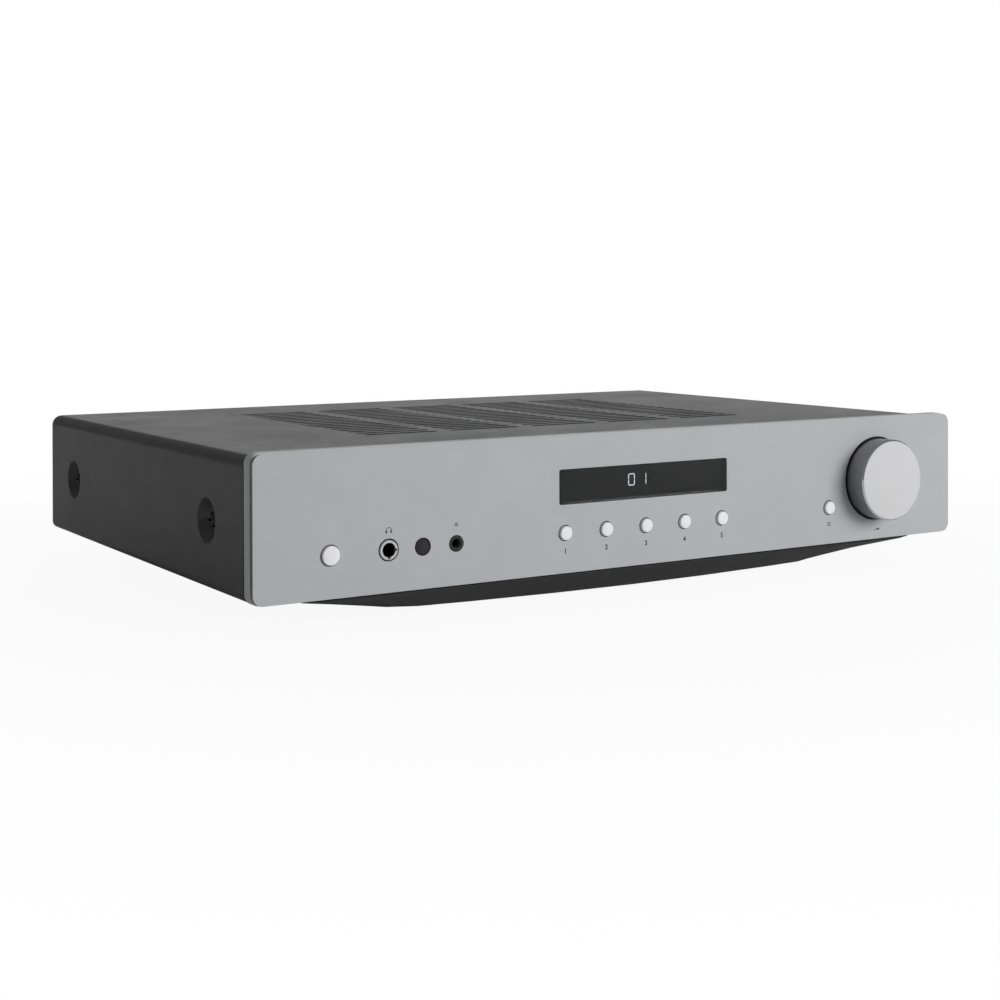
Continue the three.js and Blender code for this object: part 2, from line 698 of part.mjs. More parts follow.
// a ribbon from the front board back over the floor to the main board
function ribbonCable() {
  const start = CHASSIS_FRONT + 3;
  const end = MAIN_BOARD.y[0] + 8;
  const low = MAIN_BOARD_Z + BOARD_SHEET + 1;
  const outline = new THREE.Shape();
  outline.moveTo(start, RIBBON.top);
  outline.lineTo(start, RIBBON.bend);
  outline.quadraticCurveTo(start, low, start + 14, low);
  outline.lineTo(end, low);
  outline.lineTo(end, low + 1);
  outline.lineTo(start + 14, low + 1);
  outline.quadraticCurveTo(start + 1, low + 1, start + 1, RIBBON.bend);
  outline.lineTo(start + 1, RIBBON.top);
  outline.closePath();
  const geometry = new THREE.ExtrudeGeometry(outline, {
    depth: RIBBON.width,
    bevelEnabled: false,
    curveSegments: 4,
  });
  geometry.rotateX(Math.PI / 2).rotateZ(Math.PI / 2);
  return geometry.translate(RIBBON.x, 0, 0);
}
add('ribbon_cable', ribbonCable(), 'black');

// ---------------------------------------------------------------- rear panel and connectors

const inputX = [];
for (let i = 0; i < INPUT_PAIRS; i += 1) {
  inputX.push(INPUT_FIRST_X - i * INPUT_PITCH);
}
const inputZ = [INPUT_LOW_Z, INPUT_LOW_Z + INPUT_SPACING];
const TERMINAL_MIDDLE = (TERMINAL_X[0] + TERMINAL_X[3]) / 2;
const PANEL_INSIDE = REAR_FACE - REAR_SHEET;

function rearPanel() {
  const inset = SHEET + GAP;
  const low = FLOOR_LOW;
  const high = COVER_TOP - inset;
  const width = WIDTH - 2 * inset;
  const outline = roundedRectangle(width, high - low, COVER_TOP_BEND - SHEET, 0, (low + high) / 2);
  const hole = (radius, x, z) => rod(radius, PANEL_INSIDE - 1, REAR_FACE + 1, 12, x, z);
  const opening = (x, z, { width, height }) => {
    const room = 2 * GAP;
    return block(span(x, width + room), [PANEL_INSIDE - 1, REAR_FACE + 1], span(z, height + room));
  };
  const openings = [
    opening(TERMINAL_MIDDLE, TERMINAL_Z, TERMINAL_BODY),
    opening(INLET_X, INLET_Z, INLET_BODY),
    opening(SWITCH_X, SWITCH_Z, SWITCH_BODY),
  ];
  for (const x of inputX) {
    for (const z of inputZ) {
      openings.push(hole(PHONO_RADIUS + 0.5, x, z));
    }
  }
  return cut(plate(outline, PANEL_INSIDE, REAR_FACE), ...openings);
}
add('rear_panel', rearPanel(), 'cover');

// A pair of phono sockets: two barrels through the panel from one moulded block.

function phonoPair(x) {
  const front = REAR_FACE - REAR_SHEET - GAP;
  const body = block(span(x, 11), [front - 12, front], [ON_BOARD, inputZ[1] + 6]);
  const barrels = inputZ.map((z) => rod(PHONO_RADIUS, front - 1, REAR_FACE + PHONO_REACH, 12, x, z));
  const bores = inputZ.map((z) => rod(1.7, REAR_FACE, REAR_FACE + PHONO_REACH + 1, 8, x, z));
  return cut(join(body, ...barrels), ...bores);
}
inputX.forEach((x, i) => add(`phono_pair_${i + 1}`, phonoPair(x), 'bright'));

// The loudspeaker terminals: a moulded block with four threaded studs, and on each stud a brass
// sleeve inside an insulated cap. Cap and sleeve screw outwards together.
const CAP_SEAT = REAR_FACE + BLOCK_PROUD + 3.2;
const CAP_END = CASE_REAR + TERMINAL_REACH;

function terminalBlock() {
  const { width, height } = TERMINAL_BODY;
  const flange = block(
    span(TERMINAL_MIDDLE, width + 8),
    [REAR_FACE + GAP, REAR_FACE + BLOCK_PROUD],
    span(TERMINAL_Z, height + 8),
  );
  const body = block(
    span(TERMINAL_MIDDLE, width), [PANEL_INSIDE - 8, REAR_FACE + 1], span(TERMINAL_Z, height));
  const studs = [];
  for (const x of TERMINAL_X) {
    studs.push(rod(POST_RADIUS, REAR_FACE + 1, CAP_SEAT - GAP, 12, x, TERMINAL_Z));
    studs.push(rod(STUD_RADIUS, REAR_FACE + 1, CAP_END - 5, 10, x, TERMINAL_Z));
  }
  return join(flange, body, ...studs);
}
add('speaker_terminal_block', terminalBlock(), 'black');

TERMINAL_X.forEach((x, i) => {
  const sleeve = [
    [STUD_RADIUS + GAP, CAP_SEAT],
    [SLEEVE_RADIUS, CAP_SEAT],
    [SLEEVE_RADIUS, CAP_END - 6],
    [STUD_RADIUS + GAP, CAP_END - 6],
    [STUD_RADIUS + GAP, CAP_SEAT],
  ];
  add(`speaker_sleeve_${i + 1}`, turned(sleeve, 12, x, TERMINAL_Z), 'brass');
  const cap = [
    [SLEEVE_RADIUS + GAP, CAP_SEAT],
    [CAP_RADIUS - 0.8, CAP_SEAT],
    [CAP_RADIUS, CAP_SEAT + 0.8],
    [CAP_RADIUS, CAP_END - 1.2],
    [CAP_RADIUS - 1.2, CAP_END],
    [2, CAP_END],
    [2, CAP_END - 4],
    [SLEEVE_RADIUS + GAP, CAP_END - 4],
    [SLEEVE_RADIUS + GAP, CAP_SEAT],
  ];
  add(`speaker_cap_${i + 1}`, turned(cap, 14, x, TERMINAL_Z), 'black');
});

// The mains inlet: an eared flange, a body through the panel and a keyed recess with three blades.

function inletRecess() {
  const halfWidth = 12.2;
  const halfHeight = 8.2;
  const key = 5;
  const outline = new THREE.Shape();
  outline.moveTo(INLET_X - halfWidth, INLET_Z - halfHeight);
  outline.lineTo(INLET_X + halfWidth, INLET_Z - halfHeight);
  outline.lineTo(INLET_X + halfWidth, INLET_Z + halfHeight - key);
  outline.lineTo(INLET_X + halfWidth - key, INLET_Z + halfHeight);
  outline.lineTo(INLET_X - halfWidth + key, INLET_Z + halfHeight);
  outline.lineTo(INLET_X - halfWidth, INLET_Z + halfHeight - key);
  outline.closePath();
  const mouth = REAR_FACE + INLET_PROUD;
  return plate(outline, mouth - INLET_DEPTH, mouth + 1);
}

function mainsInlet() {
  const mouth = REAR_FACE + INLET_PROUD;
  const floor = mouth - INLET_DEPTH;
  const { width, height } = INLET_BODY;
  const flange = plate(roundedRectangle(50, 22.6, 5, INLET_X, INLET_Z), REAR_FACE + GAP, mouth);
  const body = block(span(INLET_X, width), [floor - 2, REAR_FACE + 1], span(INLET_Z, height));
  const hollow = cut(join(flange, body), inletRecess());
  const blade = (dx, dz) => block(
    span(INLET_X + dx, 2), [floor - 1, floor + BLADE_LENGTH], span(INLET_Z + dz, 4));
  return join(hollow, blade(-7, -1.8), blade(7, -1.8), blade(0, 2.6));
}
add('mains_inlet', mainsInlet(), 'black');

// The mains switch: a framed well with a rocker that tilts about a pin along X.
const ROCKER_PIVOT = REAR_FACE - 1.5;

function switchFrame() {
  const { width, height } = SWITCH_BODY;
  const proud = REAR_FACE + 2;
  const bezel = plate(roundedRectangle(15, 21, 1.5, SWITCH_X, SWITCH_Z), REAR_FACE + GAP, proud);
  const body = block(span(SWITCH_X, width), [PANEL_INSIDE - 12, REAR_FACE + 1], span(SWITCH_Z, height));
  const depth = [proud - WELL.depth, proud + 1];
  const well = block(span(SWITCH_X, WELL.width), depth, span(SWITCH_Z, WELL.height));
  return cut(join(bezel, body), well);
}
add('mains_switch_frame', switchFrame(), 'black');

// The rocker's outline is drawn level about its pin, then tilted to its resting side.
function mainsRocker() {
  const half = ROCKER.height / 2;
  const outline = new THREE.Shape();
  outline.moveTo(-half + 0.6, 0.6);
  outline.lineTo(-half, 4.2);
  outline.quadraticCurveTo(0, 2.6, half, 4.2);
  outline.lineTo(half - 0.6, 0.6);
  outline.quadraticCurveTo(0, -5, -half + 0.6, 0.6);
  const geometry = new THREE.ExtrudeGeometry(outline, {
    depth: ROCKER.width,
    bevelEnabled: false,
    curveSegments: 8,
  });
  geometry.translate(0, 0, -ROCKER.width / 2);
  geometry.rotateY(-Math.PI / 2).rotateX(ROCKER_TILT);
  return geometry.translate(SWITCH_X, ROCKER_PIVOT, SWITCH_Z);
}
add('mains_rocker', mainsRocker(), 'black');

// ---------------------------------------------------------------- plinth and feet

// Both outlines are convex, so the hull between them is the plinth's outer skin. The front edge of
// its underside is bowed, and its ends slope up and out.

function plinthHull(inset, low, high) {
  const points = [];
  const put = (x, y, z) => {
    points.push(new THREE.Vector3(x, y, z));
    points.push(new THREE.Vector3(-x, y, z));
  };
  for (let i = 0; i <= 5; i += 1) {
    const x = i * 24;
    put(x, PLINTH.bow + 8 * (i / 5) ** 2 + inset, low);
  }
  put(136 - inset, 28 + inset, low);
  put(145 - inset, 42 + inset, low);
  put(PLINTH.side - inset, 62, low);
  put(PLINTH.side - inset, 236, low);
  put(140 - inset, 262 - inset, low);
  put(120 - inset, PLINTH.rearLow - inset, low);
  for (let i = 0; i <= 4; i += 1) {
    const turn = (i / 4) * (Math.PI / 2);
    const radius = 9 - inset;
    const reach = PLINTH.top - inset - radius + radius * Math.cos(turn);
    const round = radius - radius * Math.sin(turn);
    put(reach, PLINTH.front + inset + round, high);
    put(reach, PLINTH.rear - inset - round, high);
  }
  return new ConvexGeometry(points);
}

const footPlaces = [];
for (const y of [FOOT_FRONT, FOOT_REAR]) {
  for (const side of [-1, 1]) {
    footPlaces.push([side * FOOT_X, y]);
  }
}

// A moulded shell, open above, with a collar that closes the gap under the cover, bosses that carry
// it on the chassis floor and a pocket for each foot.
function plinth() {
  const wall = 3;
  const pocket = FOOT_HEIGHT - (PANEL_BOTTOM - PLINTH_DEPTH) + GAP;
  const collar = { x: PLINTH.top - 4, front: COVER_FRONT + 2, rear: PLINTH.rear - 4, wall: 6 };
  const shell = cut(plinthHull(0, -PLINTH_DEPTH, -GAP), plinthHull(wall, wall - PLINTH_DEPTH, wall - GAP));
  const rim = cut(
    block([-collar.x, collar.x], [collar.front, collar.rear], [-1, COVER_RISE - GAP]),
    block(
      [collar.wall - collar.x, collar.x - collar.wall],
      [collar.front + collar.wall, collar.rear - collar.wall],
      [-2, COVER_RISE]),
  );
  const shelf = block([-150, 150], [collar.front - 3, collar.front + collar.wall], [-3, -GAP]);
  const carriers = [];
  for (const x of [-136, 136]) {
    for (const y of [74, 224]) {
      carriers.push(post(6, 1 - PLINTH_DEPTH, FLOOR_LOW - GAP, 10, x, y));
    }
  }
  const bosses = footPlaces.map(([x, y]) => (
    post(FOOT_RADIUS + 3, 1 - PLINTH_DEPTH, pocket + 2.5 - PLINTH_DEPTH, 12, x, y)));
  const pockets = footPlaces.map(([x, y]) => (
    post(FOOT_RADIUS + GAP, -1 - PLINTH_DEPTH, pocket - PLINTH_DEPTH, 16, x, y)));
  return cut(join(shell, rim, shelf, ...carriers, ...bosses), ...pockets);
}
add('plinth', plinth(), 'black');

footPlaces.forEach(([x, y], i) => {
  const profile = [
    [0, 0],
    [FOOT_RADIUS - 1.5, 0],
    [FOOT_RADIUS, 1.5],
    [FOOT_RADIUS, FOOT_HEIGHT],
    [0, FOOT_HEIGHT],
  ];
  const foot = turned(profile, 16).rotateX(Math.PI / 2);
  add(`foot_${i + 1}`, foot.translate(x, y, -PANEL_BOTTOM), 'rubber');
});

const assembly = new THREE.Group();
assembly.add(amplifier);

export default assembly;
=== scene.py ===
"""The looks of a slim integrated amplifier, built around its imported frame."""

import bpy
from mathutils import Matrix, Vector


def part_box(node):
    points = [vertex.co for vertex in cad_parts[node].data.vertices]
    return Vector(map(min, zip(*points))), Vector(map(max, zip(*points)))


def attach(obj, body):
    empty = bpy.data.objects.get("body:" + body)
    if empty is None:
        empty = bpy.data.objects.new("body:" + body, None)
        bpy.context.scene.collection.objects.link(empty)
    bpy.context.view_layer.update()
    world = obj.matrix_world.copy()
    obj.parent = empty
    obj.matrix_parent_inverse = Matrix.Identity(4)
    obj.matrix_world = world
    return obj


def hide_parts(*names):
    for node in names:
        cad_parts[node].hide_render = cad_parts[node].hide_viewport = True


bl_info = {
    "name": "Integrated Amplifier",
    "version": (1, 0, 0),
    "blender": (4, 5, 0),
    "location": "View3D > Sidebar > Amplifier",
    "description": "Makes the visible pieces and finishes of an integrated amplifier around its frame",
    "category": "Object",
}

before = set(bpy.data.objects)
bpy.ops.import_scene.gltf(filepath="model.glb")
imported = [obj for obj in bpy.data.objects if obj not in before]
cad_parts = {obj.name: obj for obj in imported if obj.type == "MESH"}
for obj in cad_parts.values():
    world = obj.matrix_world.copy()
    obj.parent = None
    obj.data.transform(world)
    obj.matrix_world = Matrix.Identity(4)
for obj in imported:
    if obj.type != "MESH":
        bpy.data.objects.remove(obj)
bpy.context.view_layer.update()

import math

import bmesh
import bpy
from bpy.props import FloatProperty, FloatVectorProperty, IntProperty, PointerProperty
from mathutils import Matrix, Vector

MM = 0.001
TAU = 2 * math.pi
QUARTER = math.pi / 2

# ---------------------------------------------------------------- places taken from the frame

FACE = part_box("front_panel")[0].y
TRIM_LOW, TRIM_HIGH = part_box("front_trim")
BASE = TRIM_LOW.z
WIDTH = TRIM_HIGH.x - TRIM_LOW.x
PANEL_HEIGHT = TRIM_HIGH.z - TRIM_LOW.z
KNOB_LOW, KNOB_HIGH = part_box("volume_knob")
COVER_LOW, COVER_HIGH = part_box("top_cover")
REAR_LOW, REAR_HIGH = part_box("rear_panel")
REAR_FACE = REAR_HIGH.y
SOURCE_BUTTONS = [f"source_button_{i + 1}" for i in range(5)]
PHONO_PAIRS = [f"phono_pair_{i + 1}" for i in range(6)]
SPEAKERS = range(1, 5)
POSITIVE = (1, 3)                    # the speaker terminals with red caps
SCREWS = range(1, 5)
FEET = [f"foot_{i + 1}" for i in range(4)]


def middle(node):
    low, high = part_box(node)
    return (low + high) / 2


def on_face(x, height, proud=0.0):
    """A point on the fascia, `height` above its lower edge and standing `proud` of it."""
    return Vector((x, FACE - proud, BASE + height))


def at(node, depth):
    """The middle of a node as seen from the front, at this depth."""
    place = middle(node)
    return Vector((place.x, depth, place.z))


# ---------------------------------------------------------------- sizes shared by several pieces

PANEL_CORNER = 5 * MM
LIP_INSET = 0.3 * MM
LIP_THICKNESS = 0.9 * MM             # in front of the shadow groove
NECK_INSET = 1.5 * MM
PANEL_THICKNESS = 2.9 * MM
BUTTON_RADIUS = 3.5 * MM
POWER_RADIUS = 4.45 * MM
BUTTON_HOLE = 0.5 * MM
HEADPHONE_HOLE = 5.25 * MM
INFRARED_HOLE = 4.2 * MM
AUX_HOLE = 3.9 * MM
KNOB_SEAT = 23 * MM
KNOB_SEAT_DEPTH = 1.8 * MM
SHAFT_HOLE = 5 * MM
CLEARANCE = 0.3 * MM                 # between two pieces that don't touch
SHEET = 1.5 * MM
TOP_BEND = 5.5 * MM
FOOT_BEND = 4 * MM
RETURN_EDGE = 195 * MM
CONTROL_LINE = middle("menu_button").z - BASE
DISPLAY = middle("display_window")
DISPLAY_SIZE = (105 * MM, 17.3 * MM)
WINDOW_CORNER = 1.2 * MM


# ---------------------------------------------------------------- settings a user would change

class AmplifierSizes(bpy.types.PropertyGroup):
    """Edges, marks and vents"""

    edge: FloatProperty(
        name="Fascia edge", description="Width of the cut edge around the fascia",
        default=0.24 * MM, min=0, unit="LENGTH")
    knob_chamfer: FloatProperty(
        name="Knob chamfer", description="Width of the bright chamfer around the knob",
        default=0.7 * MM, min=0, unit="LENGTH")
    vent_rows: IntProperty(
        name="Vent rows", description="Number of slots from front to back in each block",
        default=17, min=1)
    vent_pitch: FloatProperty(
        name="Vent pitch", description="Distance from one slot to the next",
        default=9.8 * MM, min=0, unit="LENGTH")
    mark_height: FloatProperty(
        name="Mark height", description="Height of the numerals under the source buttons",
        default=2.4 * MM, min=0, unit="LENGTH")


class AmplifierFinishes(bpy.types.PropertyGroup):
    """Colours of the finishes"""

    fascia: FloatVectorProperty(
        name="Fascia", description="Bead-blasted aluminium of the fascia",
        default=(0.50, 0.505, 0.515), subtype="COLOR", min=0, max=1)
    knob: FloatVectorProperty(
        name="Knob", description="Turned aluminium of the knob and buttons",
        default=(0.70, 0.70, 0.71), subtype="COLOR", min=0, max=1)
    cover: FloatVectorProperty(
        name="Cover", description="Paint of the cover and the rear panel",
        default=(0.04, 0.041, 0.043), subtype="COLOR", min=0, max=1)
    plinth: FloatVectorProperty(
        name="Plinth", description="Black moulding of the plinth",
        default=(0.023, 0.023, 0.024), subtype="COLOR", min=0, max=1)
    print_ink: FloatVectorProperty(
        name="Print", description="Ink of the marks on the fascia",
        default=(0.02, 0.02, 0.022), subtype="COLOR", min=0, max=1)


class AmplifierStage(bpy.types.PropertyGroup):
    """Floor and lights"""

    key: FloatProperty(
        name="Key light", description="Power of the large soft light at the front right",
        default=61.0, min=0, unit="POWER")
    sheen: FloatProperty(
        name="Sheen", description="Power of the part of the key light that shows in the gloss",
        default=17.0, min=0, unit="POWER")
    rear_fill: FloatProperty(
        name="Rear fill", description="Power of the large soft light behind",
        default=36.0, min=0, unit="POWER")
    overhead: FloatProperty(
        name="Overhead light", description="Power of the soft light above",
        default=3.0, min=0, unit="POWER")
    backdrop: FloatProperty(
        name="Backdrop light", description="Power of the wide low panel behind",
        default=7.4, min=0, unit="POWER")
    surround: FloatProperty(
        name="Surround", description="Strength of the even light from all sides",
        default=0.15, min=0)
    floor: FloatVectorProperty(
        name="Floor", description="Colour of the floor",
        default=(0.68, 0.68, 0.68), subtype="COLOR", min=0, max=1)
    floor_lift: FloatProperty(
        name="Floor lift", description="How far the floor is lit from below, as a light table is",
        default=0.93, min=0, max=1)


# ---------------------------------------------------------------- outlines

def filleted(corners, closed=True, steps=4):
    """An outline whose corners are (x, y) or (x, y, radius), with an arc at each rounded corner."""
    points = []
    for i, (x, y, *rest) in enumerate(corners):
        corner = Vector((x, y))
        radius = rest[0] if rest else 0
        if not radius or (not closed and i in (0, len(corners) - 1)):
            points.append(corner)
            continue
        back = (Vector(corners[i - 1][:2]) - corner).normalized()
        on = (Vector(corners[(i + 1) % len(corners)][:2]) - corner).normalized()
        half = back.angle(on) / 2
        centre = corner + (back + on).normalized() * radius / math.sin(half)
        spoke = corner + back * radius / math.tan(half) - centre
        turn = math.copysign(math.pi - 2 * half, on.cross(back))
        for step in range(steps + 1):
            points.append(centre + Matrix.Rotation(turn * step / steps, 2) @ spoke)
    return points


def rectangle(width, height, radius=0.0, x=0.0, y=0.0, steps=9):
    across, up = width / 2, height / 2
    corners = [(x + across, y - up), (x + across, y + up), (x - across, y + up), (x - across, y - up)]
    return filleted([(*corner, radius) for corner in corners], steps=steps)


def circle(radius, x=0.0, y=0.0, segments=48):
    angles = [TAU * i / segments for i in range(segments)]
    return [Vector((x + radius * math.cos(angle), y + radius * math.sin(angle))) for angle in angles]


# ---------------------------------------------------------------- making pieces

FACINGS = {
    "up": Matrix.Identity(4),
    "front": Matrix.Rotation(QUARTER, 4, "X"),
    "rear": Matrix.Rotation(math.pi, 4, "Z") @ Matrix.Rotation(QUARTER, 4, "X"),
    "left": Matrix.Rotation(-QUARTER, 4, "Z") @ Matrix.Rotation(QUARTER, 4, "X"),
    "right": Matrix.Rotation(QUARTER, 4, "Z") @ Matrix.Rotation(QUARTER, 4, "X"),
}
WELD = 1e-6                          # points nearer than this are one point
CAPITAL_SHARE = 0.7                  # of a letter's size that its capitals take up
BOLD_SHARE = 0.035                   # of a letter's height by which its strokes are thickened
FLAT_TURN = math.radians(12)         # the most that a flat face's normal may be bent by its neighbour
SQUARE = 0.9999                      # how nearly a face's normal lies along an axis


def new_piece(name, data):
    piece = bpy.data.objects.new(name, data)
    bpy.context.scene.collection.objects.link(piece)
    return piece


def settled(piece):
    """The same piece as a plain mesh: modifiers applied, doubles merged and faces pointing out."""
    graph = bpy.context.evaluated_depsgraph_get()
    mesh = bpy.data.meshes.new_from_object(piece.evaluated_get(graph), depsgraph=graph)
    name = piece.name
    bpy.data.objects.remove(piece)
    build = bmesh.new()
    build.from_mesh(mesh)
    bmesh.ops.remove_doubles(build, verts=build.verts, dist=WELD)
    bmesh.ops.recalc_face_normals(build, faces=build.faces)
    build.to_mesh(mesh)
    build.free()
    return new_piece(name, mesh)


def placed(piece, where, facing="up"):
    """Moves the mesh, not the object, to its place; local +Z turns to the way the piece faces."""
    piece.data.transform(Matrix.Translation(where) @ FACINGS[facing])
    return piece


def turned(name, corners, segments=64, ring=False):
    """A piece turned about local Z from (radius, height) corners that run from the top down."""
    outline = filleted(corners, closed=ring)
    count = len(outline)
    edges = [(i, (i + 1) % count) for i in range(count if ring else count - 1)]
    mesh = bpy.data.meshes.new(name)
    mesh.from_pydata([(point.x, 0, point.y) for point in outline], edges, [])
    piece = new_piece(name, mesh)
    screw = piece.modifiers.new("Turning", "SCREW")
    screw.steps = segments
    screw.render_steps = segments
    screw.use_merge_vertices = True
    screw.merge_threshold = WELD
    return settled(piece)


def flat(name, outlines, thickness, edge=0.0, edge_steps=2):
    """A plate whose front lies at local Z 0; the first outline is its border, the others are holes."""
    curve = bpy.data.curves.new(name, "CURVE")
    curve.dimensions = "2D"
    curve.fill_mode = "BOTH"
    curve.extrude = thickness / 2 - edge
    curve.bevel_depth = edge
    curve.bevel_resolution = edge_steps
    curve.offset = -edge
    for outline in outlines:
        spline = curve.splines.new("POLY")
        spline.points.add(len(outline) - 1)
        for point, place in zip(spline.points, outline):
            point.co = (place.x, place.y, 0, 1)
        spline.use_cyclic_u = True
    piece = settled(new_piece(name, curve))
    piece.data.transform(Matrix.Translation((0, 0, -thickness / 2)))
    return piece


def lettering(name, text, height, thickness):
    """A short numeral or sign, centred, standing `thickness` proud of local Z 0."""
    curve = bpy.data.curves.new(name, "FONT")
    curve.body = text
    curve.size = height / CAPITAL_SHARE
    curve.align_x = "CENTER"
    curve.offset = height * BOLD_SHARE
    curve.extrude = thickness / 2
    piece = settled(new_piece(name, curve))
    piece.data.transform(Matrix.Translation((0, 0, thickness / 2)))
    return piece


def block(name, low, high, edge=0.0):
    """A block between two corners with rounded edges."""
    build = bmesh.new()
    bmesh.ops.create_cube(build, size=1)
    size = Vector(high) - Vector(low)
    centre = (Vector(high) + Vector(low)) / 2
    shape = Matrix.Translation(centre) @ Matrix.Diagonal((*size, 1))
    bmesh.ops.transform(build, verts=build.verts, matrix=shape)
    mesh = bpy.data.meshes.new(name)
    build.to_mesh(mesh)
    build.free()
    piece = new_piece(name, mesh)
    if edge:
        bevel = piece.modifiers.new("Edges", "BEVEL")
        bevel.width = edge
        bevel.segments = 2
    return settled(piece)


def joined(name, pieces):
    """Several meshes as one piece; their material slots are shared."""
    build = bmesh.new()
    materials = []
    for piece in pieces:
        slots = [slot.material for slot in piece.material_slots]
        first = len(build.faces)
        build.from_mesh(piece.data)
        build.faces.ensure_lookup_table()
        for material in slots:
            if material not in materials:
                materials.append(material)
        for face in build.faces[first:]:
            if slots:
                face.material_index = materials.index(slots[face.material_index])
    mesh = bpy.data.meshes.new(name)
    build.to_mesh(mesh)
    build.free()
    for piece in pieces:
        bpy.data.objects.remove(piece)
    whole = new_piece(name, mesh)
    for material in materials:
        mesh.materials.append(material)
    return whole


def cut(piece, tool):
    """The piece with the tool taken away from it; the tool is removed."""
    boolean = piece.modifiers.new("Cut", "BOOLEAN")
    boolean.operation = "DIFFERENCE"
    boolean.solver = "EXACT"
    boolean.object = tool
    whole = settled(piece)
    bpy.data.objects.remove(tool)
    return whole


def painted(piece, *materials):
    for material in materials:
        piece.data.materials.append(material)
    return piece


def paint_where(piece, index, test):
    """Gives the faces whose middle and normal pass the test another of the piece's materials."""
    for face in piece.data.polygons:
        if test(face.center, face.normal):
            face.material_index = index
    return piece


def keep_flats(piece, crease):
    """Smooth shading, sharp at real corners and round every level or upright flat face."""
    piece.data.shade_smooth()
    build = bmesh.new()
    build.from_mesh(piece.data)
    for edge in build.edges:
        if len(edge.link_faces) != 2:
            continue
        angle = edge.calc_face_angle(0.0)
        square = any(max(map(abs, face.normal)) > SQUARE for face in edge.link_faces)
        edge.smooth = angle < math.radians(crease) and not (square and angle > FLAT_TURN)
    build.to_mesh(piece.data)
    build.free()


def finished(piece, body, replaced=(), crease=32):
    """Shading first, then the body the piece rides on; the frame's pieces that it replaces are hidden."""
    keep_flats(piece, crease)
    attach(piece, body)
    if replaced:
        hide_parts(*replaced)
    return piece


# ---------------------------------------------------------------- material nodes

def add_node(tree, kind, sockets=None, **settings):
    """A node with its settings and its input values or links."""
    node = tree.nodes.new(kind)
    for name, value in settings.items():
        setattr(node, name, value)
    for name, value in (sockets or {}).items():
        if isinstance(value, bpy.types.NodeSocket):
            tree.links.new(value, node.inputs[name])
        else:
            node.inputs[name].default_value = value
    return node


def math_node(tree, operation, first, second=0.0, third=0.0):
    sockets = {0: first, 1: second, 2: third}
    return add_node(tree, "ShaderNodeMath", sockets, operation=operation).outputs[0]


def between(tree, value, low, high, to_low=0.0, to_high=1.0):
    """The value from low to high as a value from to_low to to_high, clamped."""
    sockets = {"Value": value, "From Min": low, "From Max": high, "To Min": to_low, "To Max": to_high}
    return add_node(tree, "ShaderNodeMapRange", sockets).outputs["Result"]


def new_group(name, inputs, outputs):
    """A shader node group with its sockets, its input node's sockets and its output node."""
    tree = bpy.data.node_groups.new(name, "ShaderNodeTree")
    for label, kind, value in inputs:
        socket = tree.interface.new_socket(label, in_out="INPUT", socket_type=kind)
        socket.default_value = value
    for label in outputs:
        tree.interface.new_socket(label, in_out="OUTPUT", socket_type="NodeSocketFloat")
    entry = tree.nodes.new("NodeGroupInput")
    leave = tree.nodes.new("NodeGroupOutput")
    return tree, entry.outputs, leave.inputs


def grain_group():
    """Fine relief and a soft drift of tone; Stretch squeezes the grain along an axis."""
    tree, given, leave = new_group(
        "Fine Grain",
        [("Size", "NodeSocketFloat", 0.4 * MM), ("Stretch", "NodeSocketVector", (1, 1, 1))],
        ["Height", "Tone"])
    place = add_node(tree, "ShaderNodeTexCoord").outputs["Object"]
    scaled = add_node(tree, "ShaderNodeVectorMath", {0: place, 1: given["Stretch"]}, operation="MULTIPLY")
    scale = math_node(tree, "DIVIDE", 1.0, given["Size"])
    fine = add_node(tree, "ShaderNodeTexNoise", {
        "Vector": scaled.outputs[0], "Scale": scale, "Detail": 2.0, "Roughness": 0.6})
    broad = add_node(tree, "ShaderNodeTexNoise", {
        "Vector": place, "Scale": 38.0, "Detail": 3.0, "Roughness": 0.55})
    fine_part = math_node(tree, "MULTIPLY", fine.outputs["Fac"], 0.45)
    drift = math_node(tree, "MULTIPLY_ADD", broad.outputs["Fac"], 0.55, fine_part)
    tree.links.new(fine.outputs["Fac"], leave["Height"])
    tree.links.new(between(tree, drift, 0.3, 0.7), leave["Tone"])
    return tree


def wear_group():
    """A mask that is 1 along edges and 0 on open faces, for rubbed edges and for painted highlights along
    edges.
    """
    tree, given, leave = new_group(
        "Edge Rubbing And Highlight",
        [("Radius", "NodeSocketFloat", 0.3 * MM), ("Amount", "NodeSocketFloat", 0.5)],
        ["Mask"])
    rounded = add_node(tree, "ShaderNodeBevel", {"Radius": given["Radius"]}, samples=4)
    normal = add_node(tree, "ShaderNodeNewGeometry").outputs["Normal"]
    facing = add_node(
        tree, "ShaderNodeVectorMath", {0: rounded.outputs[0], 1: normal}, operation="DOT_PRODUCT")
    edge = between(tree, facing.outputs["Value"], 0.995, 0.9)
    place = add_node(tree, "ShaderNodeTexCoord").outputs["Object"]
    broken = add_node(tree, "ShaderNodeTexNoise", {"Vector": place, "Scale": 420.0, "Detail": 3.0})
    kept = between(tree, broken.outputs["Fac"], 0.35, 0.65, 0.35, 1.0)
    mask = math_node(tree, "MULTIPLY", edge, kept)
    tree.links.new(math_node(tree, "MULTIPLY", mask, given["Amount"]), leave["Mask"])
    return tree


def handling_group():
    """Faint uneven gloss, as hands and cloths leave it."""
    tree, given, leave = new_group(
        "Handling", [("Size", "NodeSocketFloat", 30 * MM)], ["Gloss"])
    place = add_node(tree, "ShaderNodeTexCoord").outputs["Object"]
    scale = math_node(tree, "DIVIDE", 1.0, given["Size"])
    smears = add_node(tree, "ShaderNodeTexNoise", {
        "Vector": place, "Scale": scale, "Detail": 5.0, "Roughness": 0.65, "Distortion": 0.8})
    tree.links.new(between(tree, smears.outputs["Fac"], 0.32, 0.68), leave["Gloss"])
    return tree


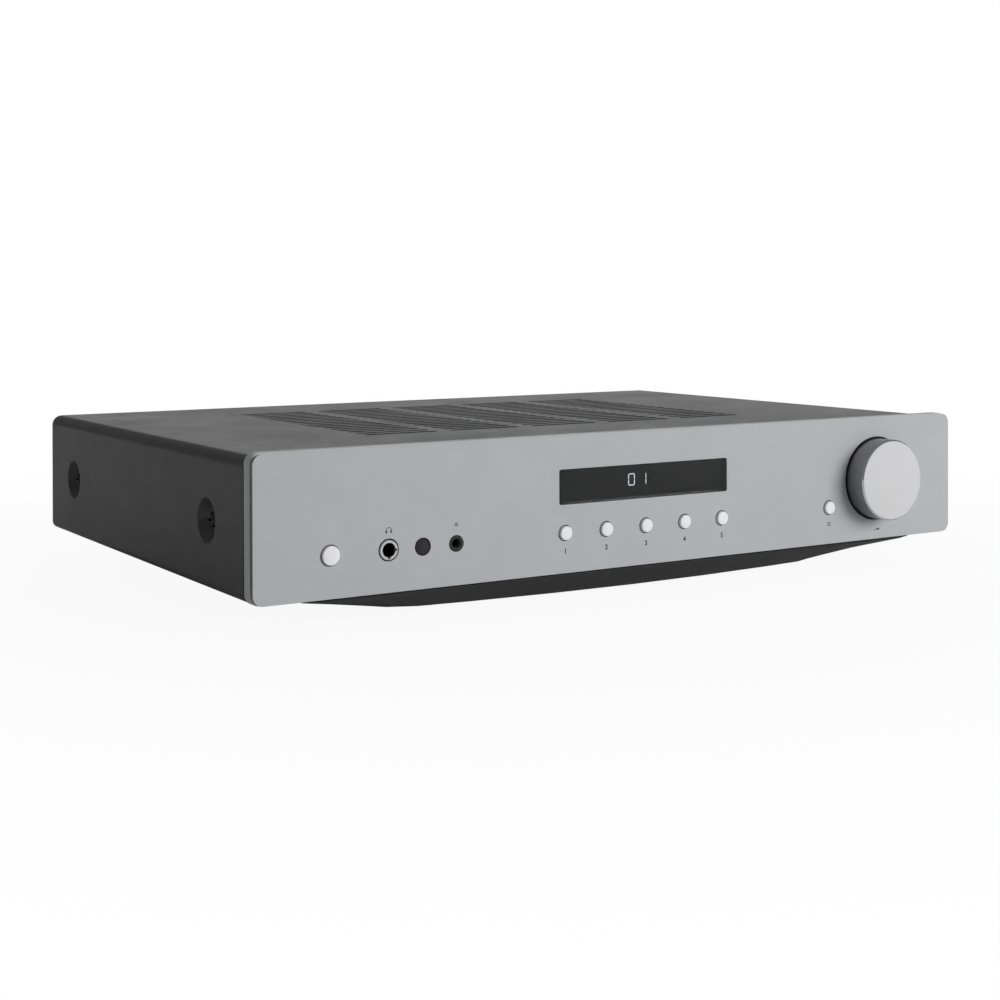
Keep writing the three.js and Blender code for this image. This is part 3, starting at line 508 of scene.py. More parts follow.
def rings_group():
    """Concentric tool marks about an axis that runs along Y through Centre."""
    tree, given, leave = new_group(
        "Turned Rings",
        [("Centre", "NodeSocketVector", (0, 0, 0)), ("Pitch", "NodeSocketFloat", 0.15 * MM)],
        ["Height", "Tone"])
    place = add_node(tree, "ShaderNodeTexCoord").outputs["Object"]
    offset = add_node(tree, "ShaderNodeVectorMath", {0: place, 1: given["Centre"]}, operation="SUBTRACT")
    flattened = add_node(
        tree, "ShaderNodeVectorMath", {0: offset.outputs[0], 1: (1, 0, 1)}, operation="MULTIPLY")
    radius = add_node(tree, "ShaderNodeVectorMath", {0: flattened.outputs[0]}, operation="LENGTH")
    turns = math_node(tree, "DIVIDE", radius.outputs["Value"], given["Pitch"])
    uneven = add_node(
        tree, "ShaderNodeTexNoise", {"W": turns, "Scale": 0.6, "Detail": 3.0}, noise_dimensions="1D")
    wave = math_node(tree, "SINE", math_node(tree, "MULTIPLY", turns, TAU))
    tree.links.new(math_node(tree, "MULTIPLY_ADD", wave, 0.25, uneven.outputs["Fac"]), leave["Height"])
    tree.links.new(between(tree, uneven.outputs["Fac"], 0.3, 0.7), leave["Tone"])
    return tree


GROUPS = {}


def group_node(tree, name, **sockets):
    sockets = {label.capitalize(): value for label, value in sockets.items()}
    return add_node(tree, "ShaderNodeGroup", sockets, node_tree=GROUPS[name])


def mixed(tree, factor, first, second):
    """A colour between two colours."""
    mix = tree.nodes.new("ShaderNodeMix")
    mix.data_type = "RGBA"
    pairs = (("Factor", factor), ("A", first), ("B", second))
    for name, value in pairs:
        socket = next(s for s in mix.inputs if s.name == name and s.enabled)
        if isinstance(value, bpy.types.NodeSocket):
            tree.links.new(value, socket)
        else:
            socket.default_value = value if name == "Factor" else (*value, 1)
    return next(s for s in mix.outputs if s.enabled)


def shade(colour, by):
    return tuple(max(0.0, min(1.0, part * by)) for part in colour[:3])


def surface(name, colour, roughness, metallic=0.0, size=0.4, stretch=(1, 1, 1), relief=0.01, tone=0.05,
            gloss=0.06, wear=0.0, rubbed_and_highlight_colour=None, rings=None, **sockets):
    """A finish with grain, drift of tone, uneven gloss and brighter edges: rubbing on some finishes, painted
    highlight on others. Sizes are in millimetres.

    `rings` is the axis point and pitch of concentric tool marks, which then take the grain's place.
    """
    material = bpy.data.materials.new(name)
    material.use_nodes = True
    tree = material.node_tree
    shader = tree.nodes["Principled BSDF"]
    shader.inputs["Metallic"].default_value = metallic
    for socket, value in sockets.items():
        shader.inputs[socket.replace("_", " ")].default_value = value
    if rings:
        grain = group_node(tree, "rings", centre=rings[0], pitch=rings[1] * MM)
    else:
        grain = group_node(tree, "grain", size=size * MM, stretch=stretch)
    base = mixed(tree, grain.outputs["Tone"], shade(colour, 1 - tone), shade(colour, 1 + tone))
    if wear:
        mask = group_node(tree, "wear", radius=0.35 * MM, amount=wear).outputs["Mask"]
        base = mixed(tree, mask, base, rubbed_and_highlight_colour or shade(colour, 1.8))
    tree.links.new(base, shader.inputs["Base Color"])
    uneven = group_node(tree, "handling", size=34 * MM).outputs["Gloss"]
    tree.links.new(between(tree, uneven, 0.0, 1.0, roughness - gloss, roughness + gloss),
                   shader.inputs["Roughness"])
    bump = add_node(tree, "ShaderNodeBump", {
        "Strength": 1.0, "Distance": relief * MM, "Height": grain.outputs["Height"]})
    tree.links.new(bump.outputs["Normal"], shader.inputs["Normal"])
    return material


M = {}


def board_material():
    """Green solder resist with copper tracks and pads under it."""
    material = surface("circuit_board", (0.02, 0.10, 0.045), 0.38, size=0.6, relief=0.01, Coat_Weight=0.4)
    tree = material.node_tree
    shader = tree.nodes["Principled BSDF"]
    place = add_node(tree, "ShaderNodeTexCoord").outputs["Object"]
    tracks = add_node(tree, "ShaderNodeTexBrick", {
        "Vector": place, "Scale": 190.0, "Color1": (0, 0, 0, 1), "Color2": (0.12, 0.12, 0.12, 1),
        "Mortar": (1, 1, 1, 1), "Mortar Size": 0.03})
    base = shader.inputs["Base Color"].links[0].from_socket
    tracked = mixed(tree, tracks.outputs["Color"], base, (0.05, 0.19, 0.07))
    tree.links.new(tracked, shader.inputs["Base Color"])
    return material


WINDING_TURNS = 260.0


def winding_material():
    """Enamelled wire laid side by side around the ring core."""
    material = surface("transformer_winding", (0.44, 0.17, 0.05), 0.32, metallic=0.6, size=0.5, relief=0.02)
    tree = material.node_tree
    shader = tree.nodes["Principled BSDF"]
    centre = middle("toroidal_transformer")
    place = add_node(tree, "ShaderNodeTexCoord").outputs["Object"]
    offset = add_node(tree, "ShaderNodeVectorMath", {0: place, 1: centre}, operation="SUBTRACT")
    parts = add_node(tree, "ShaderNodeSeparateXYZ", {0: offset.outputs[0]})
    angle = math_node(tree, "ARCTAN2", parts.outputs["Y"], parts.outputs["X"])
    turns = math_node(tree, "SINE", math_node(tree, "MULTIPLY", angle, WINDING_TURNS))
    wires = between(tree, turns, -1.0, 1.0)
    base = shader.inputs["Base Color"].links[0].from_socket
    tree.links.new(mixed(tree, wires, (0.16, 0.055, 0.02), base), shader.inputs["Base Color"])
    bump = shader.inputs["Normal"].links[0].from_node
    tree.links.new(wires, bump.inputs["Height"])
    bump.inputs["Distance"].default_value = 0.25 * MM
    return material


RIBBON_PITCH = 1.27 * MM


def ribbon_material():
    """Grey flat cable whose wires show as ribs, with a red wire along one edge."""
    material = surface("ribbon_cable", (0.34, 0.34, 0.35), 0.42, size=0.6, relief=0.01)
    tree = material.node_tree
    shader = tree.nodes["Principled BSDF"]
    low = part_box("ribbon_cable")[0]
    place = add_node(tree, "ShaderNodeTexCoord").outputs["Object"]
    across = add_node(tree, "ShaderNodeSeparateXYZ", {0: place}).outputs["X"]
    wire = math_node(tree, "MULTIPLY", across, TAU / RIBBON_PITCH)
    ribs = between(tree, math_node(tree, "SINE", wire), -1.0, 1.0)
    edge = between(tree, across, low.x + RIBBON_PITCH - 0.1 * MM, low.x + RIBBON_PITCH + 0.1 * MM, 1.0, 0.0)
    base = shader.inputs["Base Color"].links[0].from_socket
    tree.links.new(mixed(tree, edge, base, (0.5, 0.03, 0.02)), shader.inputs["Base Color"])
    bump = shader.inputs["Normal"].links[0].from_node
    tree.links.new(ribs, bump.inputs["Height"])
    bump.inputs["Distance"].default_value = 0.2 * MM
    return material


def glowing(name, colour, strength):
    """Lit segments of the display, a little uneven across each one."""
    material = surface(name, colour, 0.5, size=0.5, tone=0.08)
    shader = material.node_tree.nodes["Principled BSDF"]
    base = shader.inputs["Base Color"].links[0].from_socket
    material.node_tree.links.new(base, shader.inputs["Emission Color"])
    shader.inputs["Emission Strength"].default_value = strength
    return material


def make_materials(colours):
    GROUPS.update(grain=grain_group(), wear=wear_group(), handling=handling_group(), rings=rings_group())
    fascia, knob, cover, plinth = colours.fascia, colours.knob, colours.cover, colours.plinth
    axis = middle("volume_knob")
    # The fascia's brighter edge colour is a painted highlight along its cut edges.
    M["fascia"] = surface("fascia_blasted", fascia, 0.6, 0.25, size=0.28, relief=0.012, tone=0.035,
                          gloss=0.03, wear=0.5, rubbed_and_highlight_colour=(0.9, 0.9, 0.92))
    # The trim's brighter edge colour is painted highlight along the band's edges, over some rubbing.
    M["trim"] = surface("trim_satin", (0.66, 0.665, 0.67), 0.45, 0.3, size=0.25, relief=0.008, wear=0.8,
                        rubbed_and_highlight_colour=(0.85, 0.85, 0.87), gloss=0.03)
    # Near-black backing: painted shade in the groove behind the lip, in the hole walls and round the knob's
    # seat.
    M["groove"] = surface("groove_painted_shade", (0.03, 0.03, 0.031), 0.6, 0.3, size=0.4)
    M["knob_face"] = surface("knob_turned_face", knob, 0.5, 0.3, tone=0.03, relief=0.004, gloss=0.03,
                             rings=(axis, 0.16), Anisotropic=0.35)
    # The knob's side is its colour darkened: painted shade on the flank, back and bore.
    M["knob_side"] = surface("knob_flank_painted_shade", shade(knob, 0.42), 0.3, 0.95, size=0.3, stretch=(1, 0.2, 1),
                             relief=0.006, gloss=0.03)
    M["knob_cut"] = surface("knob_bright_cut", (0.93, 0.93, 0.94), 0.14, 1.0, size=0.3, relief=0.002,
                            gloss=0.02)
    M["button"] = surface("button_satin", (0.93, 0.93, 0.94), 0.45, 0.3, size=0.3, relief=0.003, gloss=0.03)
    M["cover"] = surface("cover_paint", cover, 0.34, 0.0, size=0.55, relief=0.02, tone=0.05, gloss=0.03,
                         wear=0.25, rubbed_and_highlight_colour=(0.2, 0.2, 0.2), Specular_IOR_Level=0.7)
    # A darker copy of the cover paint: painted shade on the slot walls, the cut edges and the inside.
    M["cover_cut"] = surface("cover_slot_wall_painted_shade", shade(cover, 0.4), 0.5, 0.0, size=0.55, relief=0.02,
                             tone=0.05, gloss=0.03)
    M["steel"] = surface("zinc_steel", (0.46, 0.47, 0.49), 0.34, 0.95, size=5.0, relief=0.003, tone=0.12,
                         gloss=0.08)
    M["screw"] = surface("blackened_screw", (0.045, 0.045, 0.048), 0.32, 0.9, size=0.25, relief=0.004,
                         wear=0.9, rubbed_and_highlight_colour=(0.45, 0.45, 0.46))
    M["chrome"] = surface("chromed_ring", (0.9, 0.9, 0.91), 0.26, 0.8, size=0.3, relief=0.001, gloss=0.03)
    M["black"] = surface("black_moulding", (0.02, 0.02, 0.021), 0.42, size=0.35, relief=0.012, gloss=0.05,
                         wear=0.25)
    M["socket"] = surface("dark_socket", (0.03, 0.03, 0.031), 0.45, size=0.35, relief=0.008, wear=0.2)
    M["plinth"] = surface("plinth_moulding", plinth, 0.46, size=0.5, relief=0.018, gloss=0.04, wear=0.2)
    M["rubber"] = surface("foot_rubber", (0.012, 0.012, 0.012), 0.75, size=0.5, relief=0.03, gloss=0.05)
    M["infrared"] = surface("infrared_window", (0.022, 0.02, 0.022), 0.5, size=0.8, relief=0.001,
                            gloss=0.02)
    M["window"] = surface("smoked_window", (0.24, 0.242, 0.25), 0.06, size=0.8, relief=0.0005, gloss=0.02,
                          tone=0.02, Transmission_Weight=1.0, IOR=1.49)
    M["glass"] = surface("display_glass", (0.06, 0.062, 0.064), 0.3, size=0.8, relief=0.001, gloss=0.03)
    M["segment"] = glowing("display_segment", (0.75, 0.78, 0.8), 4.5)
    M["ink"] = surface("fascia_ink", colours.print_ink, 0.5, size=0.3, relief=0.004)
    M["rear_ink"] = surface("rear_ink", (0.55, 0.55, 0.56), 0.5, size=0.3, relief=0.004)
    M["brass"] = surface("plated_brass", (0.83, 0.61, 0.27), 0.2, 1.0, size=0.4, relief=0.003, gloss=0.05)
    M["nickel"] = surface("nickel_plate", (0.66, 0.64, 0.6), 0.2, 1.0, size=0.4, relief=0.003, gloss=0.05,
                          wear=0.3, rubbed_and_highlight_colour=(0.8, 0.78, 0.74))
    M["white"] = surface("white_insulator", (0.72, 0.72, 0.7), 0.35, size=0.4, relief=0.005)
    M["red"] = surface("red_insulator", (0.45, 0.012, 0.012), 0.35, size=0.4, relief=0.005, wear=0.2)
    M["heatsink"] = surface("heatsink_anodised", (0.03, 0.03, 0.032), 0.45, 0.6, size=0.5,
                            stretch=(1, 1, 0.1), relief=0.02, wear=0.5, rubbed_and_highlight_colour=(0.4, 0.4, 0.4))
    M["capacitor"] = surface("capacitor_sleeve", (0.015, 0.035, 0.09), 0.25, size=1.2, relief=0.01,
                             Coat_Weight=0.3)
    M["board"] = board_material()
    M["winding"] = winding_material()
    M["ribbon"] = ribbon_material()


# ---------------------------------------------------------------- fascia and its pieces

def fascia_holes():
    """The holes that the fascia and its backing share, seen from the front."""
    radii = dict.fromkeys((*SOURCE_BUTTONS, "menu_button"), BUTTON_RADIUS + BUTTON_HOLE)
    radii["power_button"] = POWER_RADIUS + BUTTON_HOLE
    radii["headphone_jack"] = HEADPHONE_HOLE
    radii["ir_window"] = INFRARED_HOLE
    radii["aux_jack"] = AUX_HOLE
    holes = [circle(radius, middle(node).x, CONTROL_LINE) for node, radius in radii.items()]
    width, height = DISPLAY_SIZE
    holes.append(rectangle(width, height, WINDOW_CORNER, DISPLAY.x, DISPLAY.z - BASE))
    return holes


def panel_outline(inset, radius, steps=9):
    """The fascia's outline, drawn in by `inset` all round."""
    return rectangle(WIDTH - 2 * inset, PANEL_HEIGHT - 2 * inset, radius, 0, PANEL_HEIGHT / 2, steps)


def make_fascia(context):
    edge = context.scene.amplifier_sizes.edge
    knob = middle("volume_knob")
    knob_height = knob.z - BASE
    face = panel_outline(LIP_INSET, PANEL_CORNER)
    seat = circle(KNOB_SEAT, knob.x, knob_height, 96)
    lip = flat("fascia", [face, *fascia_holes(), seat], LIP_THICKNESS, edge, 1)
    placed(painted(lip, M["fascia"]), on_face(0, 0), "front")
    finished(lip, "chassis", ["front_panel"], crease=25)
    neck = panel_outline(NECK_INSET, PANEL_CORNER - NECK_INSET)
    upper = flat("fascia_neck", [neck, *fascia_holes(), seat], KNOB_SEAT_DEPTH - LIP_THICKNESS)
    placed(upper, on_face(0, 0, -LIP_THICKNESS), "front")
    floor = [neck, *fascia_holes(), circle(SHAFT_HOLE, knob.x, knob_height)]
    lower = flat("fascia_floor", floor, PANEL_THICKNESS - KNOB_SEAT_DEPTH)
    placed(lower, on_face(0, 0, -KNOB_SEAT_DEPTH), "front")
    # The backing's near-black colour is painted shade in the groove and the knob's seat.
    backing = joined("fascia_backing", [painted(upper, M["groove"]), painted(lower, M["groove"])])
    finished(backing, "chassis")


def make_trim():
    wall = 6 * MM
    edge = 0.45 * MM
    outline = panel_outline(0, PANEL_CORNER, 10)
    opening = panel_outline(wall, 2 * MM)
    trim = flat("trim_band", [outline, opening], TRIM_HIGH.y - TRIM_LOW.y, edge, 1)
    placed(painted(trim, M["trim"]), Vector((0, TRIM_LOW.y, BASE)), "front")
    finished(trim, "chassis", ["front_trim"], crease=25)


def make_knob(context):
    chamfer = context.scene.amplifier_sizes.knob_chamfer
    radius = (KNOB_HIGH.x - KNOB_LOW.x) / 2
    depth = KNOB_HIGH.y - KNOB_LOW.y
    wall = 2.4 * MM
    web = 3.5 * MM
    boss = 6.5 * MM
    bore = 3.3 * MM
    bore_end = 5 * MM
    back = depth - 1.7 * MM
    rim = 0.35 * MM
    corners = [
        (0, 0), (radius - chamfer - rim, 0, 0.1 * MM), (radius - chamfer - rim * 0.6, -0.12 * MM),
        (radius - chamfer, -0.02 * MM), (radius, -chamfer - 0.02 * MM), (radius, -depth + 0.25 * MM),
        (radius - 0.25 * MM, -depth), (radius - wall, -depth, 0.3 * MM), (radius - wall, -web, 1 * MM),
        (boss, -web, 1 * MM), (boss, -back), (bore, -back), (bore, -bore_end), (0, -bore_end),
    ]
    knob = turned("volume_knob_cap", corners, 128)
    # The first finish, on all but the face and chamfer, is the painted shade of the side.
    painted(knob, M["knob_side"], M["knob_face"], M["knob_cut"])
    paint_where(knob, 1, lambda c, n: c.z > -0.3 * MM and n.z > 0.5)
    paint_where(knob, 2, lambda c, n: c.z > -chamfer and 0.3 < n.z < 0.95 and c.xy.length > radius - chamfer)
    placed(knob, at("volume_knob", KNOB_LOW.y), "front")
    finished(knob, "volume_knob", ["volume_knob"], crease=20)


def make_button(node, radius):
    low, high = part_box(node)
    collar = radius + 1.2 * MM
    collar_front = low.y - FACE - PANEL_THICKNESS - CLEARANCE
    collar_back = collar_front - MM
    stem = 1.5 * MM
    end = low.y - high.y
    crown = 0.14 * MM
    corners = [
        (0, 0), (radius * 0.45, -crown * 0.2), (radius - 0.35 * MM, -crown, 0.5 * MM),
        (radius, -0.6 * MM, 0.3 * MM), (radius, collar_front), (collar, collar_front, 0.15 * MM),
        (collar, collar_back, 0.15 * MM), (stem, collar_back), (stem, end), (0, end),
    ]
    button = painted(turned(f"{node}_cap", corners, 64), M["button"])
    placed(button, at(node, low.y), "front")
    finished(button, node, [node], crease=40)


def make_buttons():
    for node in (*SOURCE_BUTTONS, "menu_button"):
        make_button(node, BUTTON_RADIUS)
    make_button("power_button", POWER_RADIUS)


DIGITS = {"0": "abcdef", "1": "bc"}


def digit(name, numeral, width, height):
    """A numeral drawn with thin pointed bars; `a` is the top one and the others follow round to `f`."""
    bar = 0.42 * MM
    gap = 0.14 * MM
    across, up = width / 2, height / 2
    ends = {
        "a": ((-across, up), (across, up)),
        "b": ((across, 0), (across, up)),
        "c": ((across, -up), (across, 0)),
        "d": ((-across, -up), (across, -up)),
        "e": ((-across, -up), (-across, 0)),
        "f": ((-across, 0), (-across, up)),
    }
    bars = []
    for key in DIGITS[numeral]:
        start, end = (Vector(point) for point in ends[key])
        along = (end - start).normalized()
        start, end = start + along * gap, end - along * gap
        aside = Vector((-along.y, along.x)) * bar / 2
        outline = [start, start + along * bar / 2 + aside, end - along * bar / 2 + aside,
                   end, end - along * bar / 2 - aside, start + along * bar / 2 - aside]
        bars.append(flat(f"{name}_{key}", [outline], 0.1 * MM))
    return joined(name, bars)


def make_display():
    low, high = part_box("display_window")
    width, height = DISPLAY_SIZE
    front = FACE + 0.4 * MM
    outline = rectangle(width - 2 * CLEARANCE, height - 2 * CLEARANCE, WINDOW_CORNER - CLEARANCE)
    pane = flat("window_pane", [outline], high.y - front, 0.12 * MM)
    placed(painted(pane, M["window"]), at("display_window", front), "front")
    finished(pane, "chassis", ["display_window"])
    flange_depth = high.y - FACE - PANEL_THICKNESS - CLEARANCE
    border = rectangle(high.x - low.x, high.z - low.z, 0.6 * MM)
    opening = rectangle(width - CLEARANCE, height - CLEARANCE, 0.4 * MM)
    flange = flat("window_flange", [border, opening], flange_depth)
    placed(painted(flange, M["black"]), at("display_window", high.y - flange_depth), "front")
    finished(flange, "chassis")
    first, pitch, line = DISPLAY.x - 6.8 * MM, 7.2 * MM, BASE + 43.3 * MM
    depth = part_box("display_module")[0].y - 0.12 * MM
    numerals = []
    for i, numeral in enumerate("01"):
        piece = digit(f"numeral_{i}", numeral, 3.6 * MM, 5.6 * MM)
        placed(piece, Vector((first + i * pitch, depth, line)), "front")
        numerals.append(painted(piece, M["segment"]))
    finished(joined("display_numerals", numerals), "chassis")


def make_headphone_socket():
    x = middle("headphone_jack").x
    outer, inner, back = 4.65 * MM, 3.3 * MM, 2.4 * MM
    ring = turned(
        "headphone_ring",
        [(inner, 0, 0.3 * MM), (outer, 0, 0.5 * MM), (outer, -back), (inner, -back)], 64, ring=True)
    notch = 0.55 * MM
    near, far = inner - MM, inner + 0.8 * MM
    for name, low, high in (
        ("key_right", (near, -notch, -MM), (far, notch, MM)),
        ("key_low", (-notch, -far, -MM), (notch, -near, MM)),
    ):
        ring = cut(ring, block(name, low, high))
    placed(painted(ring, M["chrome"]), on_face(x, CONTROL_LINE, 0.45 * MM), "front")
    finished(ring, "chassis")
    bore, nose, body = inner - 0.15 * MM, 4.9 * MM, 6 * MM
    front, shoulder, end = 0.5 * MM, 4 * MM, 32 * MM
    floor = end - 1.5 * MM
    lining = turned("headphone_lining", [
        (bore, -front), (nose, -front, 0.2 * MM), (nose, -shoulder), (body, -shoulder), (body, -end),
        (0, -end), (0, -floor), (bore, -floor)], 48, ring=True)
    placed(painted(lining, M["black"]), on_face(x, CONTROL_LINE, 0.3 * MM), "front")
    finished(lining, "chassis", ["headphone_jack"])


def make_auxiliary_socket():
    bore, mouth, collar, body = 1.8 * MM, 2.5 * MM, 3.6 * MM, 4.4 * MM
    shoulder, floor, end = 4 * MM, 9.6 * MM, 10.5 * MM
    socket = turned("aux_collar", [
        (bore, -1.2 * MM, 0.2 * MM), (mouth, 0, 0.25 * MM), (collar, 0, 0.35 * MM), (collar, -shoulder),
        (body, -shoulder), (body, -end), (0, -end), (0, -floor), (bore, -floor)], 48, ring=True)
    placed(painted(socket, M["socket"]), on_face(middle("aux_jack").x, CONTROL_LINE, 0.1 * MM), "front")
    finished(socket, "chassis", ["aux_jack"])


def make_infrared_eye():
    radius, collar, shoulder, end = 3.9 * MM, 5.4 * MM, 3.4 * MM, 4.6 * MM
    eye = turned("infrared_eye", [
        (0, 0), (2.6 * MM, -0.14 * MM), (radius, -0.7 * MM, 0.3 * MM), (radius, -shoulder),
        (collar, -shoulder), (collar, -end), (0, -end)], 48)
    placed(painted(eye, M["infrared"]), on_face(middle("ir_window").x, CONTROL_LINE, 0.2 * MM), "front")
    finished(eye, "chassis", ["ir_window"])


INK = 0.02 * MM                      # thickness of a printed mark
LOWER_MARKS = 10 * MM                # heights of the marks above the fascia's lower edge
UPPER_MARKS = 29 * MM
VOLUME_MARK = 5.7 * MM


def sign(name, outlines, x, height):
    """A small printed shape on the fascia, drawn about its own middle."""
    piece = flat(name, outlines, INK)
    return placed(piece, on_face(x, height, INK), "front")


def half_band(radius, width, steps=16):
    """The outline of a stripe that runs round the upper half of a circle."""
    angles = [math.pi * i / steps for i in range(steps + 1)]
    spokes = [Vector((math.cos(angle), math.sin(angle))) for angle in angles]
    outer = [spoke * (radius + width / 2) for spoke in spokes]
    inner = [spoke * (radius - width / 2) for spoke in reversed(spokes)]
    return outer + inner


def make_marks(context):
    size = context.scene.amplifier_sizes.mark_height
    marks = []
    for i, node in enumerate(SOURCE_BUTTONS):
        numeral = lettering(f"mark_{i + 1}", str(i + 1), size, INK)
        marks.append(placed(numeral, on_face(middle(node).x, LOWER_MARKS), "front"))
    phone = middle("headphone_jack").x
    marks.append(sign("phone_band", [half_band(1.35 * MM, 0.3 * MM)], phone, UPPER_MARKS))
    for side in (-1, 1):
        cup = rectangle(0.75 * MM, 1.3 * MM, 0.2 * MM, side * 1.3 * MM, -0.6 * MM, 3)
        marks.append(sign(f"phone_cup_{side}", [cup], phone, UPPER_MARKS))
    aux = middle("aux_jack").x
    marks.append(sign("aux_ring", [circle(0.95 * MM), circle(0.65 * MM)], aux, UPPER_MARKS))
    marks.append(sign("aux_dot", [circle(0.3 * MM)], aux, UPPER_MARKS))
    menu = middle("menu_button").x
    for i in range(3):
        bar = rectangle(2.4 * MM, 0.32 * MM, 0.1 * MM, 0, (i - 1) * 0.8 * MM, 2)
        marks.append(sign(f"menu_bar_{i}", [bar], menu, LOWER_MARKS + 1.1 * MM))
    reach, low, high = 2.2 * MM, -0.5 * MM, 0.6 * MM
    ramp = [Vector((-reach, low)), Vector((reach, low)), Vector((reach, high))]
    marks.append(sign("volume_ramp", [ramp], middle("volume_knob").x, VOLUME_MARK))
    whole = painted(joined("printed_marks", marks), M["ink"])
    finished(whole, "chassis")


# ---------------------------------------------------------------- cover, its screws and the plinth

VENT_BLOCKS = 5
VENT_BLOCK_PITCH = 50 * MM
VENT_LENGTH = 42 * MM
VENT_WIDTH = 5 * MM
VENT_START = 75 * MM
DISH_RADIUS = 10.75 * MM
DISH_MOUTH = DISH_RADIUS + 1.2 * MM  # where its rounded rim meets the side
DISH_FLOOR = 6.9 * MM
DISH_DEPTH = 4.5 * MM
DISH_SEGMENTS = 48
SCREW_HOLE = 2.1 * MM
CUT_EDGE = 0.22 * MM                 # the rounding of the sheet's cut edges


def slot_arc(x, y, above):
    """Half of a round-ended slot's edge, from its left end to its right end."""
    radius = VENT_WIDTH / 2
    reach = VENT_LENGTH / 2 - radius
    way = 1 if above else -1
    steps = 5
    left = []
    for i in range(steps + 1):
        angle = QUARTER * i / steps
        left.append(Vector((x - reach - radius * math.cos(angle), y + way * radius * math.sin(angle))))
    return left + [Vector((2 * x - point.x, point.y)) for point in reversed(left)]


def top_faces(half, front, rear, rows, pitch):
    """The flat top of the cover, with a face above and a face below each slot."""
    first = FACE + VENT_START - pitch / 2
    last = first + rows * pitch
    columns = [(i - VENT_BLOCKS / 2) * VENT_BLOCK_PITCH for i in range(VENT_BLOCKS + 1)]
    faces = []
    for row in range(rows):
        y = first + (row + 0.5) * pitch
        for left, right in zip(columns, columns[1:]):
            for above in (True, False):
                far = y + pitch / 2 if above else y - pitch / 2
                arc = slot_arc((left + right) / 2, y, above)
                far_side = [Vector((right, far)), Vector((left, far))]
                faces.append([Vector((left, y)), *arc, Vector((right, y)), *far_side])
    stations = [first + i * pitch / 2 for i in range(2 * rows + 1)]
    for side in (-1, 1):
        edge = [Vector((side * columns[-1], y)) for y in stations]
        faces.append([Vector((side * half, first)), *edge, Vector((side * half, last))])
    for y, border in ((first, front), (last, rear)):
        row = [Vector((x, y)) for x in (-half, *columns, half)]
        faces.append([Vector((-half, border)), *row, Vector((half, border))])
    return faces, first, last


def side_faces(front, rear, low, high, stations):
    """One flat side of the cover in (Y, Z), with faces above and below its dishes."""
    dishes = [middle(f"cover_screw_{i}") for i in SCREWS]
    places = sorted({round(place.y, 6) for place in dishes})
    height = dishes[0].z
    half = DISH_SEGMENTS // 2
    upper = [Vector((y, high)) for y in reversed(stations)]
    lower = [Vector((rear, low)), Vector((front, low))]
    faces = []
    for way, edge in ((1, upper), (-1, lower)):
        line = [Vector((front, height))]
        for y in places:
            for i in range(half + 1):
                angle = math.pi * i / half
                rise = way * DISH_MOUTH * math.sin(angle)
                line.append(Vector((y - DISH_MOUTH * math.cos(angle), height + rise)))
        line.append(Vector((rear, height)))
        faces.append(line + edge)
    return faces, places, height


def dish_rings():
    """The dish's profile as (radius, depth), from the cover's surface in to the screw hole."""
    return filleted([
        (DISH_MOUTH, 0), (DISH_RADIUS - 0.2 * MM, 0, 1.3 * MM), (DISH_FLOOR, -DISH_DEPTH, 1.2 * MM),
        (SCREW_HOLE, -DISH_DEPTH)], closed=False, steps=5)


def cover_cage(rows, pitch):
    """The cover's outer skin as one layer of faces; its stack gives it the sheet's thickness."""
    build = bmesh.new()
    half_width, top, low = COVER_HIGH.x, COVER_HIGH.z, COVER_LOW.z
    front, rear = COVER_LOW.y, COVER_HIGH.y

    def add(points):
        build.faces.new([build.verts.new(point) for point in points])

    flat_top = half_width - TOP_BEND
    tops, first, last = top_faces(flat_top, front, rear, rows, pitch)
    for points in tops:
        add([(point.x, point.y, top) for point in points])
    stations = [front, first, last, rear]
    bend_low, foot_high = top - TOP_BEND, low + FOOT_BEND
    sides, places, height = side_faces(front, rear, foot_high, bend_low, stations)
    rings = dish_rings()
    steps = 8
    angles = [QUARTER * i / steps for i in range(steps + 1)]
    upper = [(flat_top + TOP_BEND * math.sin(a), bend_low + TOP_BEND * math.cos(a)) for a in angles]
    foot = half_width - FOOT_BEND
    lower = [(foot + FOOT_BEND * math.cos(a), foot_high - FOOT_BEND * math.sin(a)) for a in angles]
    lower.append((RETURN_EDGE, low))
    for side in (1, -1):
        for path, cuts in ((upper, stations), (lower, [front, rear])):
            for (x0, z0), (x1, z1) in zip(path, path[1:]):
                for y0, y1 in zip(cuts, cuts[1:]):
                    add([(side * x0, y0, z0), (side * x0, y1, z0), (side * x1, y1, z1), (side * x1, y0, z1)])
        for points in sides:
            add([(side * half_width, point.x, point.y) for point in points])
        for y in places:
            for (r0, d0), (r1, d1) in zip(rings, rings[1:]):
                for i in range(DISH_SEGMENTS):
                    a0, a1 = TAU * i / DISH_SEGMENTS, TAU * (i + 1) / DISH_SEGMENTS
                    add([(side * (half_width + d), y + r * math.cos(a), height + r * math.sin(a))
                         for r, d, a in ((r0, d0, a0), (r0, d0, a1), (r1, d1, a1), (r1, d1, a0))])
    bmesh.ops.remove_doubles(build, verts=build.verts, dist=WELD)
    bmesh.ops.recalc_face_normals(build, faces=build.faces)
    build.faces.ensure_lookup_table()
    if build.faces[0].normal.z < 0:
        bmesh.ops.reverse_faces(build, faces=build.faces)
    mesh = bpy.data.meshes.new("cover_shell")
    build.to_mesh(mesh)
    build.free()
    return mesh


